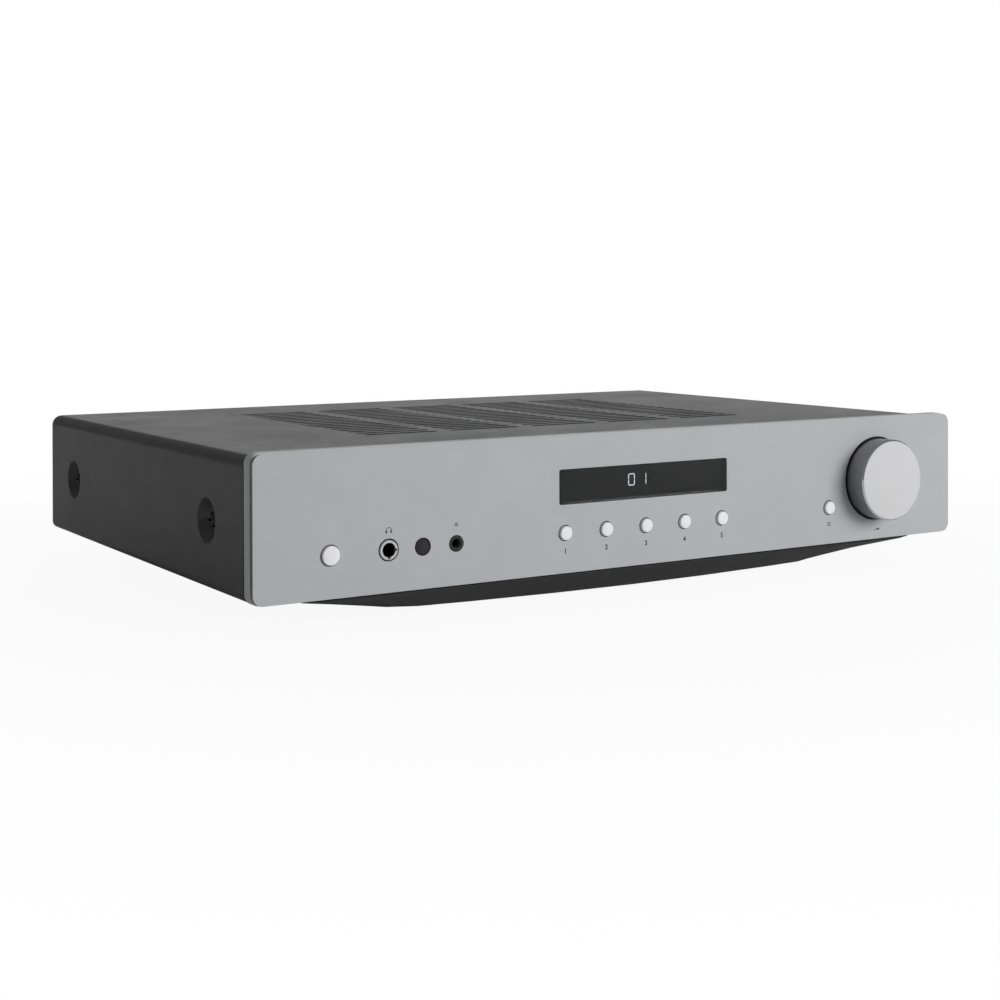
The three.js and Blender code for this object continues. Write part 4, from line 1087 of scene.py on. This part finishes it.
def make_cover(context):
    sizes = context.scene.amplifier_sizes
    cover = new_piece("cover_shell", cover_cage(sizes.vent_rows, sizes.vent_pitch))
    painted(cover, M["cover"], M["cover_cut"])
    sheet = cover.modifiers.new("Sheet", "SOLIDIFY")
    # The inside and the cut rims take the darker paint as painted shade.
    sheet.material_offset = 1
    sheet.material_offset_rim = 1
    sheet.thickness = SHEET
    sheet.offset = -1
    sheet.use_even_offset = True
    edges = cover.modifiers.new("Edges", "BEVEL")
    edges.width = CUT_EDGE
    edges.segments = 2
    edges.limit_method = "ANGLE"
    edges.angle_limit = math.radians(50)
    weighted = cover.modifiers.new("Shading", "WEIGHTED_NORMAL")
    weighted.keep_sharp = True
    cover.data.shade_smooth()
    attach(cover, "chassis")
    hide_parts("top_cover")


def cross_head(name, radius, height):
    """A pan head with a cross recess, its seat at local Z 0."""
    head = turned(name, [
        (0, height), (radius * 0.62, height * 0.93), (radius * 0.95, height * 0.45, 0.3 * MM), (radius, 0),
        (0, 0)], 32)
    reach, width = radius * 0.58, radius * 0.2
    for i, (x, y) in enumerate(((reach, width), (width, reach))):
        head = cut(head, block(f"{name}_slot_{i}", (-x, -y, height * 0.35), (x, y, height * 2)))
    return head


def make_cover_screws():
    height, radius, shank_radius, length = 2.2 * MM, 3.6 * MM, 1.65 * MM, 8 * MM
    for i in SCREWS:
        node = f"cover_screw_{i}"
        low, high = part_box(node)
        place = middle(node)
        if place.x < 0:
            way = "left"
            place.x = low.x + height
        else:
            way = "right"
            place.x = high.x - height
        head = placed(cross_head(f"cover_screw_head_{i}", radius, height), place, way)
        shank = turned(f"shank_{i}", [
            (0, 0), (shank_radius, 0), (shank_radius, -length, 0.5 * MM), (0, -length)], 24)
        placed(shank, place, way)
        screw = painted(joined(f"case_screw_{i}", [head, shank]), M["screw"])
        finished(screw, "chassis", [node])


PLINTH_SAMPLES = 160                 # points round the plinth
PLINTH_DEPTH = 12 * MM
PARALLEL = 1e-12
NEAR = 1e-9


def ray_out(outline, angle, centre):
    """Where a ray from the centre at this angle leaves a closed outline."""
    way = Vector((math.cos(angle), math.sin(angle)))
    best = None
    for i, start in enumerate(outline):
        edge = outline[(i + 1) % len(outline)] - start
        side = way.cross(edge)
        if abs(side) < PARALLEL:
            continue
        gap = start - centre
        along, across = gap.cross(edge) / side, gap.cross(way) / side
        if along > 0 and -NEAR <= across <= 1 + NEAR and (best is None or along > best):
            best = along
    return centre + way * best


def plinth_outlines():
    """The plinth's upper and lower outlines in the plane, as seen from above."""
    low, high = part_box("plinth")
    corner = 9 * MM
    upper = filleted([(x, y, corner) for x, y in (
        (high.x, low.y), (high.x, high.y), (low.x, high.y), (low.x, low.y))], steps=8)
    half = [
        (0, 13), (48, 14.3), (96, 18.1), (120, 21), (136, 28), (145, 42), (148, 62), (148, 236), (140, 262),
        (120, 272), (0, 272)]
    right = [Vector((x * MM, FACE + y * MM)) for x, y in half]
    left = [Vector((-point.x, point.y)) for point in reversed(right[1:-1])]
    return upper, right + left


def make_plinth():
    low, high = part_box("plinth")
    upper, lower = plinth_outlines()
    centre = Vector((0, (low.y + high.y) / 2))
    top, bottom = BASE - CLEARANCE, BASE - PLINTH_DEPTH
    rim, lower_round, rim_width, pan = 0.9 * MM, 1.6 * MM, 9 * MM, 3 * MM
    angles = [TAU * i / PLINTH_SAMPLES for i in range(PLINTH_SAMPLES)]
    outer = [ray_out(upper, angle, centre) for angle in angles]
    inner = [ray_out(lower, angle, centre) for angle in angles]
    slope_top = top - rim
    share = 1 - lower_round / (top - bottom)
    rings = [[(*point, top) for point in outer], [(*point, slope_top) for point in outer]]
    for t in (share * 0.5, share):
        z = slope_top - (slope_top - bottom) * t
        rings.append([(*p.lerp(q, t), z) for p, q in zip(outer, inner)])
    for inset, z in ((0.6 * MM, bottom), (rim_width, bottom), (rim_width + MM, bottom + pan)):
        rings.append([(*(point + (centre - point).normalized() * inset), z) for point in inner])
    build = bmesh.new()
    loops = [[build.verts.new(point) for point in ring] for ring in rings]
    for first, second in zip(loops, loops[1:]):
        for i in range(PLINTH_SAMPLES):
            j = (i + 1) % PLINTH_SAMPLES
            build.faces.new([first[i], second[i], second[j], first[j]])
    build.faces.new(loops[0])
    build.faces.new(loops[-1])
    bmesh.ops.recalc_face_normals(build, faces=build.faces)
    mesh = bpy.data.meshes.new("plinth_shell")
    build.to_mesh(mesh)
    build.free()
    plinth = painted(new_piece("plinth_shell", mesh), M["plinth"])
    edges = plinth.modifiers.new("Edges", "BEVEL")
    edges.width = 0.8 * MM
    edges.segments = 3
    edges.limit_method = "ANGLE"
    edges.angle_limit = math.radians(25)
    plinth.data.shade_smooth()
    plinth.data.set_sharp_from_angle(angle=math.radians(60))
    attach(plinth, "chassis")
    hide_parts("plinth")


def make_feet():
    hollow = 0.8 * MM
    for node in FEET:
        low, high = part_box(node)
        radius = (high.x - low.x) / 2
        height = high.z - low.z
        foot = turned(f"{node}_rubber", [
            (0, height), (radius - 0.6 * MM, height, 0.3 * MM), (radius, height * 0.45, 1.2 * MM),
            (radius - 1.4 * MM, 0, 0.5 * MM), (radius - 5 * MM, 0, 0.5 * MM),
            (radius - 6 * MM, hollow, 0.4 * MM), (0, hollow)], 64)
        placed(painted(foot, M["rubber"]), Vector((middle(node).x, middle(node).y, low.z)))
        finished(foot, "chassis", [node])


# ---------------------------------------------------------------- rear panel and connectors

PHONO_HEIGHTS = (BASE + 27.5 * MM, BASE + 41.5 * MM)
REAR_OPENINGS = {
    "speaker_terminal_block": (84.6 * MM, 16.6 * MM),
    "mains_inlet": (28 * MM, 20.6 * MM),
    "mains_switch_frame": (13.2 * MM, 19.6 * MM),
}


def make_rear_panel():
    """The panel is drawn as seen from behind, so local X runs the other way."""
    width = REAR_HIGH.x - REAR_LOW.x
    height = REAR_HIGH.z - REAR_LOW.z
    outlines = [rectangle(width, height, 4 * MM, 0, height / 2)]
    for node in PHONO_PAIRS:
        for z in PHONO_HEIGHTS:
            outlines.append(circle(4.9 * MM, -middle(node).x, z - REAR_LOW.z, 32))
    for node, size in REAR_OPENINGS.items():
        place = middle(node)
        outlines.append(rectangle(*size, 0.5 * MM, -place.x, place.z - REAR_LOW.z))
    panel = flat("rear_plate", outlines, REAR_HIGH.y - REAR_LOW.y, 0.2 * MM)
    placed(painted(panel, M["cover"]), Vector((0, REAR_FACE, REAR_LOW.z)), "rear")
    finished(panel, "chassis", ["rear_panel"], crease=25)
    inset, inner = 7 * MM, 60 * MM
    columns = (-width / 2 + inset, -inner, inner, width / 2 - inset)
    spots = [(x, z) for x in columns for z in (REAR_LOW.z + inset, REAR_HIGH.z - inset)]
    for i, (x, z) in enumerate(spots):
        head = painted(cross_head(f"panel_screw_{i + 1}", 2.9 * MM, 1.5 * MM), M["screw"])
        placed(head, Vector((x, REAR_FACE, z)), "rear")
        finished(head, "chassis")


def phono_socket(reach, tint):
    """A nickelled barrel on its flange, and the tinted insert inside it."""
    inner, outer, flange = 3.3 * MM, 4.2 * MM, 5.6 * MM
    neck, back = 4.3 * MM, 4 * MM
    flange_high, flange_low = 1.1 * MM, 0.1 * MM
    barrel = turned("barrel", [
        (inner, reach, 0.2 * MM), (outer, reach, 0.35 * MM), (outer, flange_high, 0.3 * MM),
        (flange, flange_high, 0.25 * MM), (flange, flange_low), (neck, flange_low), (neck, -back),
        (inner, -back)], 40, ring=True)
    bore, edge, end = 1.7 * MM, 3.28 * MM, 3 * MM
    top = reach - 1.2 * MM
    insert = turned("insert", [
        (bore, top, 0.3 * MM), (edge, top), (edge, -end), (0, -end), (0, 0), (bore, 0)], 40, ring=True)
    return [painted(barrel, M["nickel"]), painted(insert, M[tint])]


def make_phono_sockets():
    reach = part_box(PHONO_PAIRS[0])[1].y - REAR_FACE
    for node in PHONO_PAIRS:
        shells = []
        for z, tint in zip(PHONO_HEIGHTS, ("red", "white")):
            place = Vector((middle(node).x, REAR_FACE, z))
            shells += [placed(piece, place, "rear") for piece in phono_socket(reach, tint)]
        low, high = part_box(node)
        body = block("body", low, (high.x, REAR_LOW.y - CLEARANCE, high.z), 0.5 * MM)
        shells.append(painted(body, M["black"]))
        finished(joined(f"{node}_sockets", shells), "chassis", [node])


def fluted(radius, depth, flutes):
    """A round outline with shallow scallops for the fingers."""
    angles = [TAU * i / (flutes * 8) for i in range(flutes * 8)]
    reaches = [radius - depth * (0.5 - 0.5 * math.cos(flutes * angle)) for angle in angles]
    return [Vector((math.cos(angle), math.sin(angle))) * reach for angle, reach in zip(angles, reaches)]


def make_terminal_block():
    node = "speaker_terminal_block"
    low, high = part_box(node)
    proud, inset = 3 * MM, 4 * MM
    outline = rectangle(high.x - low.x, high.z - low.z, 2 * MM)
    flange = flat("terminal_flange", [outline], proud - CLEARANCE, 0.5 * MM)
    placed(flange, at(node, REAR_FACE + proud), "rear")
    body_low = (low.x + inset, low.y, low.z + inset)
    body_high = (high.x - inset, REAR_FACE + MM, high.z - inset)
    body = block("terminal_body", body_low, body_high, 0.4 * MM)
    pieces = [painted(flange, M["black"]), painted(body, M["black"])]
    collar_radius, stud_radius = 4 * MM, 2.4 * MM
    collar_base = proud - 0.5 * MM
    stud_top = high.y - REAR_FACE
    for i in SPEAKERS:
        cap = f"speaker_cap_{i}"
        collar_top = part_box(cap)[0].y - REAR_FACE - CLEARANCE
        collar = turned("collar", [
            (0, collar_top), (collar_radius, collar_top, 0.4 * MM), (collar_radius, collar_base),
            (0, collar_base)], 40)
        stud = turned("stud", [
            (0, stud_top), (stud_radius, stud_top, 0.5 * MM), (stud_radius, proud), (0, proud)], 24)
        for piece, finish in ((collar, "black"), (stud, "brass")):
            pieces.append(placed(painted(piece, M[finish]), at(cap, REAR_FACE), "rear"))
    finished(joined("terminal_block", pieces), "chassis", [node])


def make_speaker_cap(i):
    node = f"speaker_cap_{i}"
    low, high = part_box(node)
    radius = (high.x - low.x) / 2
    bore, nose, hole, shelf = 4.3 * MM, 4.4 * MM, 2 * MM, 4 * MM
    outline = fluted(radius, 0.45 * MM, 16)
    grip = flat("grip", [outline, circle(bore, segments=40)], high.y - low.y - nose, 0.25 * MM)
    placed(grip, Vector((0, 0, -nose)))
    tip = turned("tip", [
        (hole, 0, 0.4 * MM), (radius - 0.6 * MM, 0, 1.3 * MM), (radius - 0.5 * MM, -nose), (bore, -nose),
        (bore, -shelf), (hole, -shelf)], 64, ring=True)
    tint = M["red"] if i in POSITIVE else M["black"]
    cap = joined(f"terminal_cap_{i}", [painted(grip, tint), painted(tip, tint)])
    placed(cap, at(node, high.y), "rear")
    finished(cap, node, [node])


def make_speaker_sleeve(i):
    node = f"speaker_sleeve_{i}"
    low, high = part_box(node)
    inner, outer, end = 2.7 * MM, 4 * MM, low.y - high.y
    tube = turned(f"terminal_sleeve_{i}", [
        (inner, 0, 0.2 * MM), (outer, 0, 0.3 * MM), (outer, end), (inner, end)], 40, ring=True)
    placed(painted(tube, M["brass"]), at(node, high.y), "rear")
    finished(tube, node, [node])


def make_mains_inlet():
    low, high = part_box("mains_inlet")
    across, up, key, edge = 12.2 * MM, 8.2 * MM, 5 * MM, 0.4 * MM
    recess = filleted([
        (across, -up, 0.6 * MM), (across, up - key, edge), (across - key, up, edge),
        (-across + key, up, edge), (-across, up - key, edge), (-across, -up, 0.6 * MM)])
    border = rectangle(high.x - low.x, high.z - low.z, 5 * MM, steps=10)
    flange = flat("inlet_flange", [border, recess], high.y - REAR_FACE - CLEARANCE, 0.35 * MM)
    depth, wall, set_back = high.y - low.y, 2 * MM, 0.4 * MM
    outline = rectangle(27.4 * MM, 20 * MM, 1 * MM)
    shell = flat("inlet_shell", [outline, recess], depth - wall - set_back)
    placed(shell, Vector((0, 0, -set_back)))
    floor = flat("inlet_floor", [outline], wall)
    placed(floor, Vector((0, 0, wall - depth)))
    pieces = [painted(piece, M["black"]) for piece in (flange, shell, floor)]
    half_width, half_height, length = 1 * MM, 2 * MM, 11.5 * MM
    for x, y in ((-7 * MM, -1.8 * MM), (7 * MM, -1.8 * MM), (0, 2.6 * MM)):
        blade_low = (x - half_width, y - half_height, wall - depth)
        blade_high = (x + half_width, y + half_height, wall - depth + length)
        pieces.append(painted(block("blade", blade_low, blade_high, 0.35 * MM), M["nickel"]))
    for side in (-1, 1):
        head = cross_head(f"inlet_head_{side}", 2.6 * MM, 1.1 * MM)
        pieces.append(painted(placed(head, Vector((side * 20 * MM, 0, 0))), M["screw"]))
    inlet = placed(joined("mains_inlet_socket", pieces), at("mains_inlet", high.y), "rear")
    finished(inlet, "chassis", ["mains_inlet"])


def make_mains_switch():
    node = "mains_switch_frame"
    low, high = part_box(node)
    well = rectangle(10.4 * MM, 16.6 * MM, 0.5 * MM)
    border = rectangle(high.x - low.x, high.z - low.z, 1.5 * MM)
    bezel = flat("switch_bezel", [border, well], high.y - REAR_FACE - CLEARANCE, 0.4 * MM)
    well_depth, set_back = 9 * MM, 0.5 * MM
    outline = rectangle(12.6 * MM, 19 * MM, 0.6 * MM)
    shell = flat("switch_shell", [outline, well], well_depth - set_back)
    placed(shell, Vector((0, 0, -set_back)))
    floor = flat("switch_floor", [outline], high.y - low.y - well_depth)
    placed(floor, Vector((0, 0, -well_depth)))
    whole = painted(joined("mains_switch_bezel", [bezel, shell, floor]), M["black"])
    placed(whole, at(node, high.y), "rear")
    finished(whole, "chassis", [node])


ROCKER_TILT = math.radians(11)
ROCKER_PIN = 1.5 * MM                # in front of the rear panel's outer face


def make_rocker():
    """The rocker's outline is drawn level about its pin, then tilted to the side it rests on."""
    low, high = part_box("mains_rocker")
    half = 7.3 * MM
    dip = [(x * half / 6, 4.2 * MM - 1.2 * MM * (1 - (x / 6) ** 2)) for x in range(-6, 7)]
    under = half - 0.6 * MM
    belly = [(x * under / 5, 0.6 * MM - 2.8 * MM * (1 - (x / 5) ** 2)) for x in range(5, -6, -1)]
    outline = [Vector(point) for point in dip + belly]
    width = high.x - low.x
    rocker = flat("rocker", [outline], width, 0.35 * MM)
    placed(painted(rocker, M["black"]), Vector((0, 0, width / 2)))
    bar_half = 0.25 * MM
    bar = block("bar", (3.6 * MM, 3.0 * MM, -bar_half), (5.2 * MM, 3.75 * MM, bar_half))
    inner, outer, depth = 0.75 * MM, 1.05 * MM, 0.5 * MM
    ring = turned("ring", [(inner, 0), (outer, 0), (outer, -depth), (inner, -depth)], 24, ring=True)
    ring.data.transform(Matrix.Translation((-4.4 * MM, 3.72 * MM, 0)) @ Matrix.Rotation(-QUARTER, 4, "X"))
    pieces = [rocker, painted(bar, M["rear_ink"]), painted(ring, M["rear_ink"])]
    whole = joined("mains_rocker_cap", pieces)
    pivot = at("mains_switch_frame", REAR_FACE - ROCKER_PIN)
    turn = Matrix.Rotation(ROCKER_TILT, 4, "X") @ Matrix.Rotation(-QUARTER, 4, "Y")
    whole.data.transform(Matrix.Translation(pivot) @ turn)
    finished(whole, "mains_rocker", ["mains_rocker"])


def rear_mark(piece, x, height, proud=0.0):
    return placed(piece, Vector((x, REAR_FACE + proud, height)), "rear")


def rear_rule(name, length, x, height):
    """A thin printed line over a group of connectors."""
    line = flat(name, [rectangle(length, 0.35 * MM, 0.1 * MM, steps=2)], INK)
    return rear_mark(line, x, height, INK)


def make_rear_marks():
    marks = []
    upper = PHONO_HEIGHTS[1]
    for i, node in enumerate(PHONO_PAIRS):
        numeral = lettering(f"input_mark_{i + 1}", str(i + 1), 2.4 * MM, INK)
        marks.append(rear_mark(numeral, middle(node).x, upper + 8 * MM))
    low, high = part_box("speaker_terminal_block")
    for i in SPEAKERS:
        pole = lettering(f"terminal_mark_{i}", "+" if i in POSITIVE else "-", 3.0 * MM, INK)
        marks.append(rear_mark(pole, middle(f"speaker_cap_{i}").x, high.z + 2 * MM))
    terminals = middle("speaker_terminal_block").x
    marks.append(rear_rule("terminal_rule", high.x - low.x, terminals, high.z + 7 * MM))
    inputs = (middle(PHONO_PAIRS[0]).x + middle(PHONO_PAIRS[-1]).x) / 2
    marks.append(rear_rule("input_rule", 132 * MM, inputs, upper + 12.5 * MM))
    finished(painted(joined("rear_marks", marks), M["rear_ink"]), "chassis")


# ---------------------------------------------------------------- pieces kept from the frame

KEPT = {
    "steel": ["bottom_chassis", "encoder_body", "encoder_shaft", "transformer_plate", "transformer_bolt"],
    "board": ["front_board", "main_board", "input_board"],
    "glass": ["display_module"],
    "heatsink": ["heatsink"],
    "black": ["output_transistors_1", "output_transistors_2"],
    "capacitor": ["reservoir_capacitor_1", "reservoir_capacitor_2"],
    "winding": ["toroidal_transformer"],
    "ribbon": ["ribbon_cable"],
}


def paint_frame():
    for finish, nodes in KEPT.items():
        for node in nodes:
            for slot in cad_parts[node].material_slots:
                slot.material = M[finish]


# ---------------------------------------------------------------- stage

CAMERA_FROM_FACE = Vector((-508.8, -677.5, 140.8)) * MM
CAMERA_YAW = math.radians(31.90)
CAMERA_PITCH = math.radians(0.355)
CAMERA_ROLL = math.radians(-0.131)
CAMERA_LENS = 60.29
CAMERA_SHIFT = -0.2036
FLOOR_SIZE = 12.0
FLOOR_THICKNESS = 0.02
FLOOR_DROP = 0.2 * MM                # below the feet
KEY_PLACE = (1.5, -2.3, 0.8)
PANEL_SIZE = (1.9, 1.3)


def make_camera():
    data = bpy.data.cameras.new("camera")
    data.lens = CAMERA_LENS
    data.sensor_width = 36
    data.shift_y = CAMERA_SHIFT
    data.clip_start = 0.01
    camera = bpy.data.objects.new("camera", data)
    bpy.context.scene.collection.objects.link(camera)
    ahead = Vector((math.sin(CAMERA_YAW), math.cos(CAMERA_YAW), 0)) * math.cos(CAMERA_PITCH)
    forward = ahead - Vector((0, 0, math.sin(CAMERA_PITCH)))
    right = Vector((math.cos(CAMERA_YAW), -math.sin(CAMERA_YAW), 0))
    up = right.cross(forward)
    level, rise = math.cos(CAMERA_ROLL), math.sin(CAMERA_ROLL)
    axes = Matrix((right * level + up * rise, up * level - right * rise, -forward)).transposed().to_4x4()
    place = Vector((0, FACE, BASE)) + CAMERA_FROM_FACE
    camera.matrix_world = Matrix.Translation(place) @ axes
    bpy.context.scene.camera = camera


def area_light(name, place, target, size, power, mirrored=True):
    """A soft panel light. One that isn't mirrored lights the pieces without showing in their gloss."""
    data = bpy.data.lights.new(name, "AREA")
    data.shape = "RECTANGLE"
    data.size, data.size_y = size
    data.energy = power
    light = bpy.data.objects.new(name, data)
    bpy.context.scene.collection.objects.link(light)
    light.location = place
    light.rotation_euler = (Vector(target) - Vector(place)).to_track_quat("-Z", "Y").to_euler()
    light.visible_camera = False
    light.visible_glossy = mirrored


def floor_material(colour, lift):
    """Pale sheet that is lit through, so it stays white and takes only a faint shadow."""
    material = surface("floor_paper", colour, 0.7, size=1.5, relief=0.01, tone=0.004, gloss=0.02)
    tree = material.node_tree
    place = add_node(tree, "ShaderNodeTexCoord").outputs["Object"]
    reach = add_node(tree, "ShaderNodeVectorMath", {0: place}, operation="LENGTH").outputs["Value"]
    lit = between(tree, reach, 0.2, 0.6, lift, 1.0)
    seen = add_node(tree, "ShaderNodeLightPath").outputs["Is Camera Ray"]
    glow = add_node(tree, "ShaderNodeEmission", {"Color": (1, 1, 1, 1), "Strength": 1.0})
    blend = add_node(tree, "ShaderNodeMixShader", {
        0: math_node(tree, "MULTIPLY", seen, lit), 1: tree.nodes["Principled BSDF"].outputs[0],
        2: glow.outputs[0]})
    tree.links.new(blend.outputs[0], tree.nodes["Material Output"].inputs["Surface"])
    return material


def make_stage(context):
    stage = context.scene.amplifier_stage
    floor = flat("floor", [rectangle(FLOOR_SIZE, FLOOR_SIZE)], FLOOR_THICKNESS)
    placed(floor, Vector((0, 0, -FLOOR_DROP)))
    painted(floor, floor_material(stage.floor, stage.floor_lift))
    aim = (0.0, 0.0, 0.05)
    area_light("key", KEY_PLACE, aim, PANEL_SIZE, stage.key, mirrored=False)
    area_light("sheen", KEY_PLACE, aim, PANEL_SIZE, stage.sheen)
    area_light("rear_fill", (0.7, 2.9, 0.8), aim, PANEL_SIZE, stage.rear_fill, mirrored=False)
    area_light("overhead", (0.0, 0.2, 1.8), (0, 0, 0), (2.2, 1.8), stage.overhead)
    area_light("backdrop", (1.7, 3.2, 0.3), (0.0, 0.0, 0.1), (4.0, 0.5), stage.backdrop)
    world = bpy.data.worlds.new("surround")
    world.use_nodes = True
    context.scene.world = world
    tree = world.node_tree
    seen = add_node(tree, "ShaderNodeLightPath").outputs["Is Camera Ray"]
    strength = between(tree, seen, 0.0, 1.0, stage.surround, 1.0)
    background = tree.nodes["Background"]
    background.inputs["Color"].default_value = (1, 1, 1, 1)
    tree.links.new(strength, background.inputs["Strength"])
    context.scene.view_settings.view_transform = "Standard"
    make_camera()


# ---------------------------------------------------------------- operators

class AMPLIFIER_OT_stage(bpy.types.Operator):
    """Make the camera, the floor and the lights, and the finishes that the pieces take"""

    bl_idname = "amplifier.stage"
    bl_label = "Stage and finishes"

    def execute(self, context):
        make_materials(context.scene.amplifier_finishes)
        make_stage(context)
        return {"FINISHED"}


class AMPLIFIER_OT_fascia(bpy.types.Operator):
    """Make the fascia, its backing and the trim band behind its shadow groove"""

    bl_idname = "amplifier.fascia"
    bl_label = "Fascia and trim"

    def execute(self, context):
        make_fascia(context)
        make_trim()
        return {"FINISHED"}


class AMPLIFIER_OT_knob(bpy.types.Operator):
    """Turn the volume knob"""

    bl_idname = "amplifier.knob"
    bl_label = "Volume knob"

    def execute(self, context):
        make_knob(context)
        return {"FINISHED"}


class AMPLIFIER_OT_buttons(bpy.types.Operator):
    """Turn the crowned push buttons"""

    bl_idname = "amplifier.buttons"
    bl_label = "Buttons"

    def execute(self, context):
        make_buttons()
        return {"FINISHED"}


class AMPLIFIER_OT_display(bpy.types.Operator):
    """Make the smoked window and the lit numerals behind it"""

    bl_idname = "amplifier.display"
    bl_label = "Display"

    def execute(self, context):
        make_display()
        return {"FINISHED"}


class AMPLIFIER_OT_sockets(bpy.types.Operator):
    """Make the headphone and auxiliary sockets and the infrared eye"""

    bl_idname = "amplifier.sockets"
    bl_label = "Front sockets"

    def execute(self, context):
        make_headphone_socket()
        make_auxiliary_socket()
        make_infrared_eye()
        return {"FINISHED"}


class AMPLIFIER_OT_marks(bpy.types.Operator):
    """Print the numerals and signs on the fascia"""

    bl_idname = "amplifier.marks"
    bl_label = "Printed marks"

    def execute(self, context):
        make_marks(context)
        return {"FINISHED"}


class AMPLIFIER_OT_cover(bpy.types.Operator):
    """Press the cover with its vents and dishes, and put its screws in"""

    bl_idname = "amplifier.cover"
    bl_label = "Cover and screws"

    def execute(self, context):
        make_cover(context)
        make_cover_screws()
        return {"FINISHED"}


class AMPLIFIER_OT_plinth(bpy.types.Operator):
    """Mould the plinth and its rubber feet"""

    bl_idname = "amplifier.plinth"
    bl_label = "Plinth and feet"

    def execute(self, context):
        make_plinth()
        make_feet()
        return {"FINISHED"}


class AMPLIFIER_OT_rear(bpy.types.Operator):
    """Make the rear panel with its sockets, terminals, mains inlet and switch"""

    bl_idname = "amplifier.rear"
    bl_label = "Rear panel"

    def execute(self, context):
        make_rear_panel()
        make_phono_sockets()
        make_terminal_block()
        for i in SPEAKERS:
            make_speaker_cap(i)
            make_speaker_sleeve(i)
        make_mains_inlet()
        make_mains_switch()
        make_rocker()
        make_rear_marks()
        return {"FINISHED"}


class AMPLIFIER_OT_inside(bpy.types.Operator):
    """Give the chassis and the pieces inside it their finishes"""

    bl_idname = "amplifier.inside"
    bl_label = "Inside pieces"

    def execute(self, context):
        paint_frame()
        return {"FINISHED"}


STEPS = (
    AMPLIFIER_OT_stage, AMPLIFIER_OT_fascia, AMPLIFIER_OT_knob, AMPLIFIER_OT_buttons, AMPLIFIER_OT_display,
    AMPLIFIER_OT_sockets, AMPLIFIER_OT_marks, AMPLIFIER_OT_cover, AMPLIFIER_OT_plinth, AMPLIFIER_OT_rear,
    AMPLIFIER_OT_inside,
)


class AMPLIFIER_PT_steps(bpy.types.Panel):
    """Lists the steps in order, with the settings above them"""

    bl_idname = "AMPLIFIER_PT_steps"
    bl_label = "Amplifier"
    bl_space_type = "VIEW_3D"
    bl_region_type = "UI"
    bl_category = "Amplifier"

    def draw(self, context):
        scene = context.scene
        for settings in (scene.amplifier_sizes, scene.amplifier_finishes, scene.amplifier_stage):
            box = self.layout.box()
            for name in settings.__annotations__:
                box.prop(settings, name)
        for step in STEPS:
            self.layout.operator(step.bl_idname)


CLASSES = (AmplifierSizes, AmplifierFinishes, AmplifierStage, *STEPS, AMPLIFIER_PT_steps)


def register():
    for item in CLASSES:
        bpy.utils.register_class(item)
    bpy.types.Scene.amplifier_sizes = PointerProperty(type=AmplifierSizes)
    bpy.types.Scene.amplifier_finishes = PointerProperty(type=AmplifierFinishes)
    bpy.types.Scene.amplifier_stage = PointerProperty(type=AmplifierStage)


def unregister():
    del bpy.types.Scene.amplifier_stage
    del bpy.types.Scene.amplifier_finishes
    del bpy.types.Scene.amplifier_sizes
    for item in reversed(CLASSES):
        bpy.utils.unregister_class(item)


def main():
    register()
    for step in STEPS:
        area, name = step.bl_idname.split(".")
        getattr(getattr(bpy.ops, area), name)()


if __name__ == "__main__":
    main()
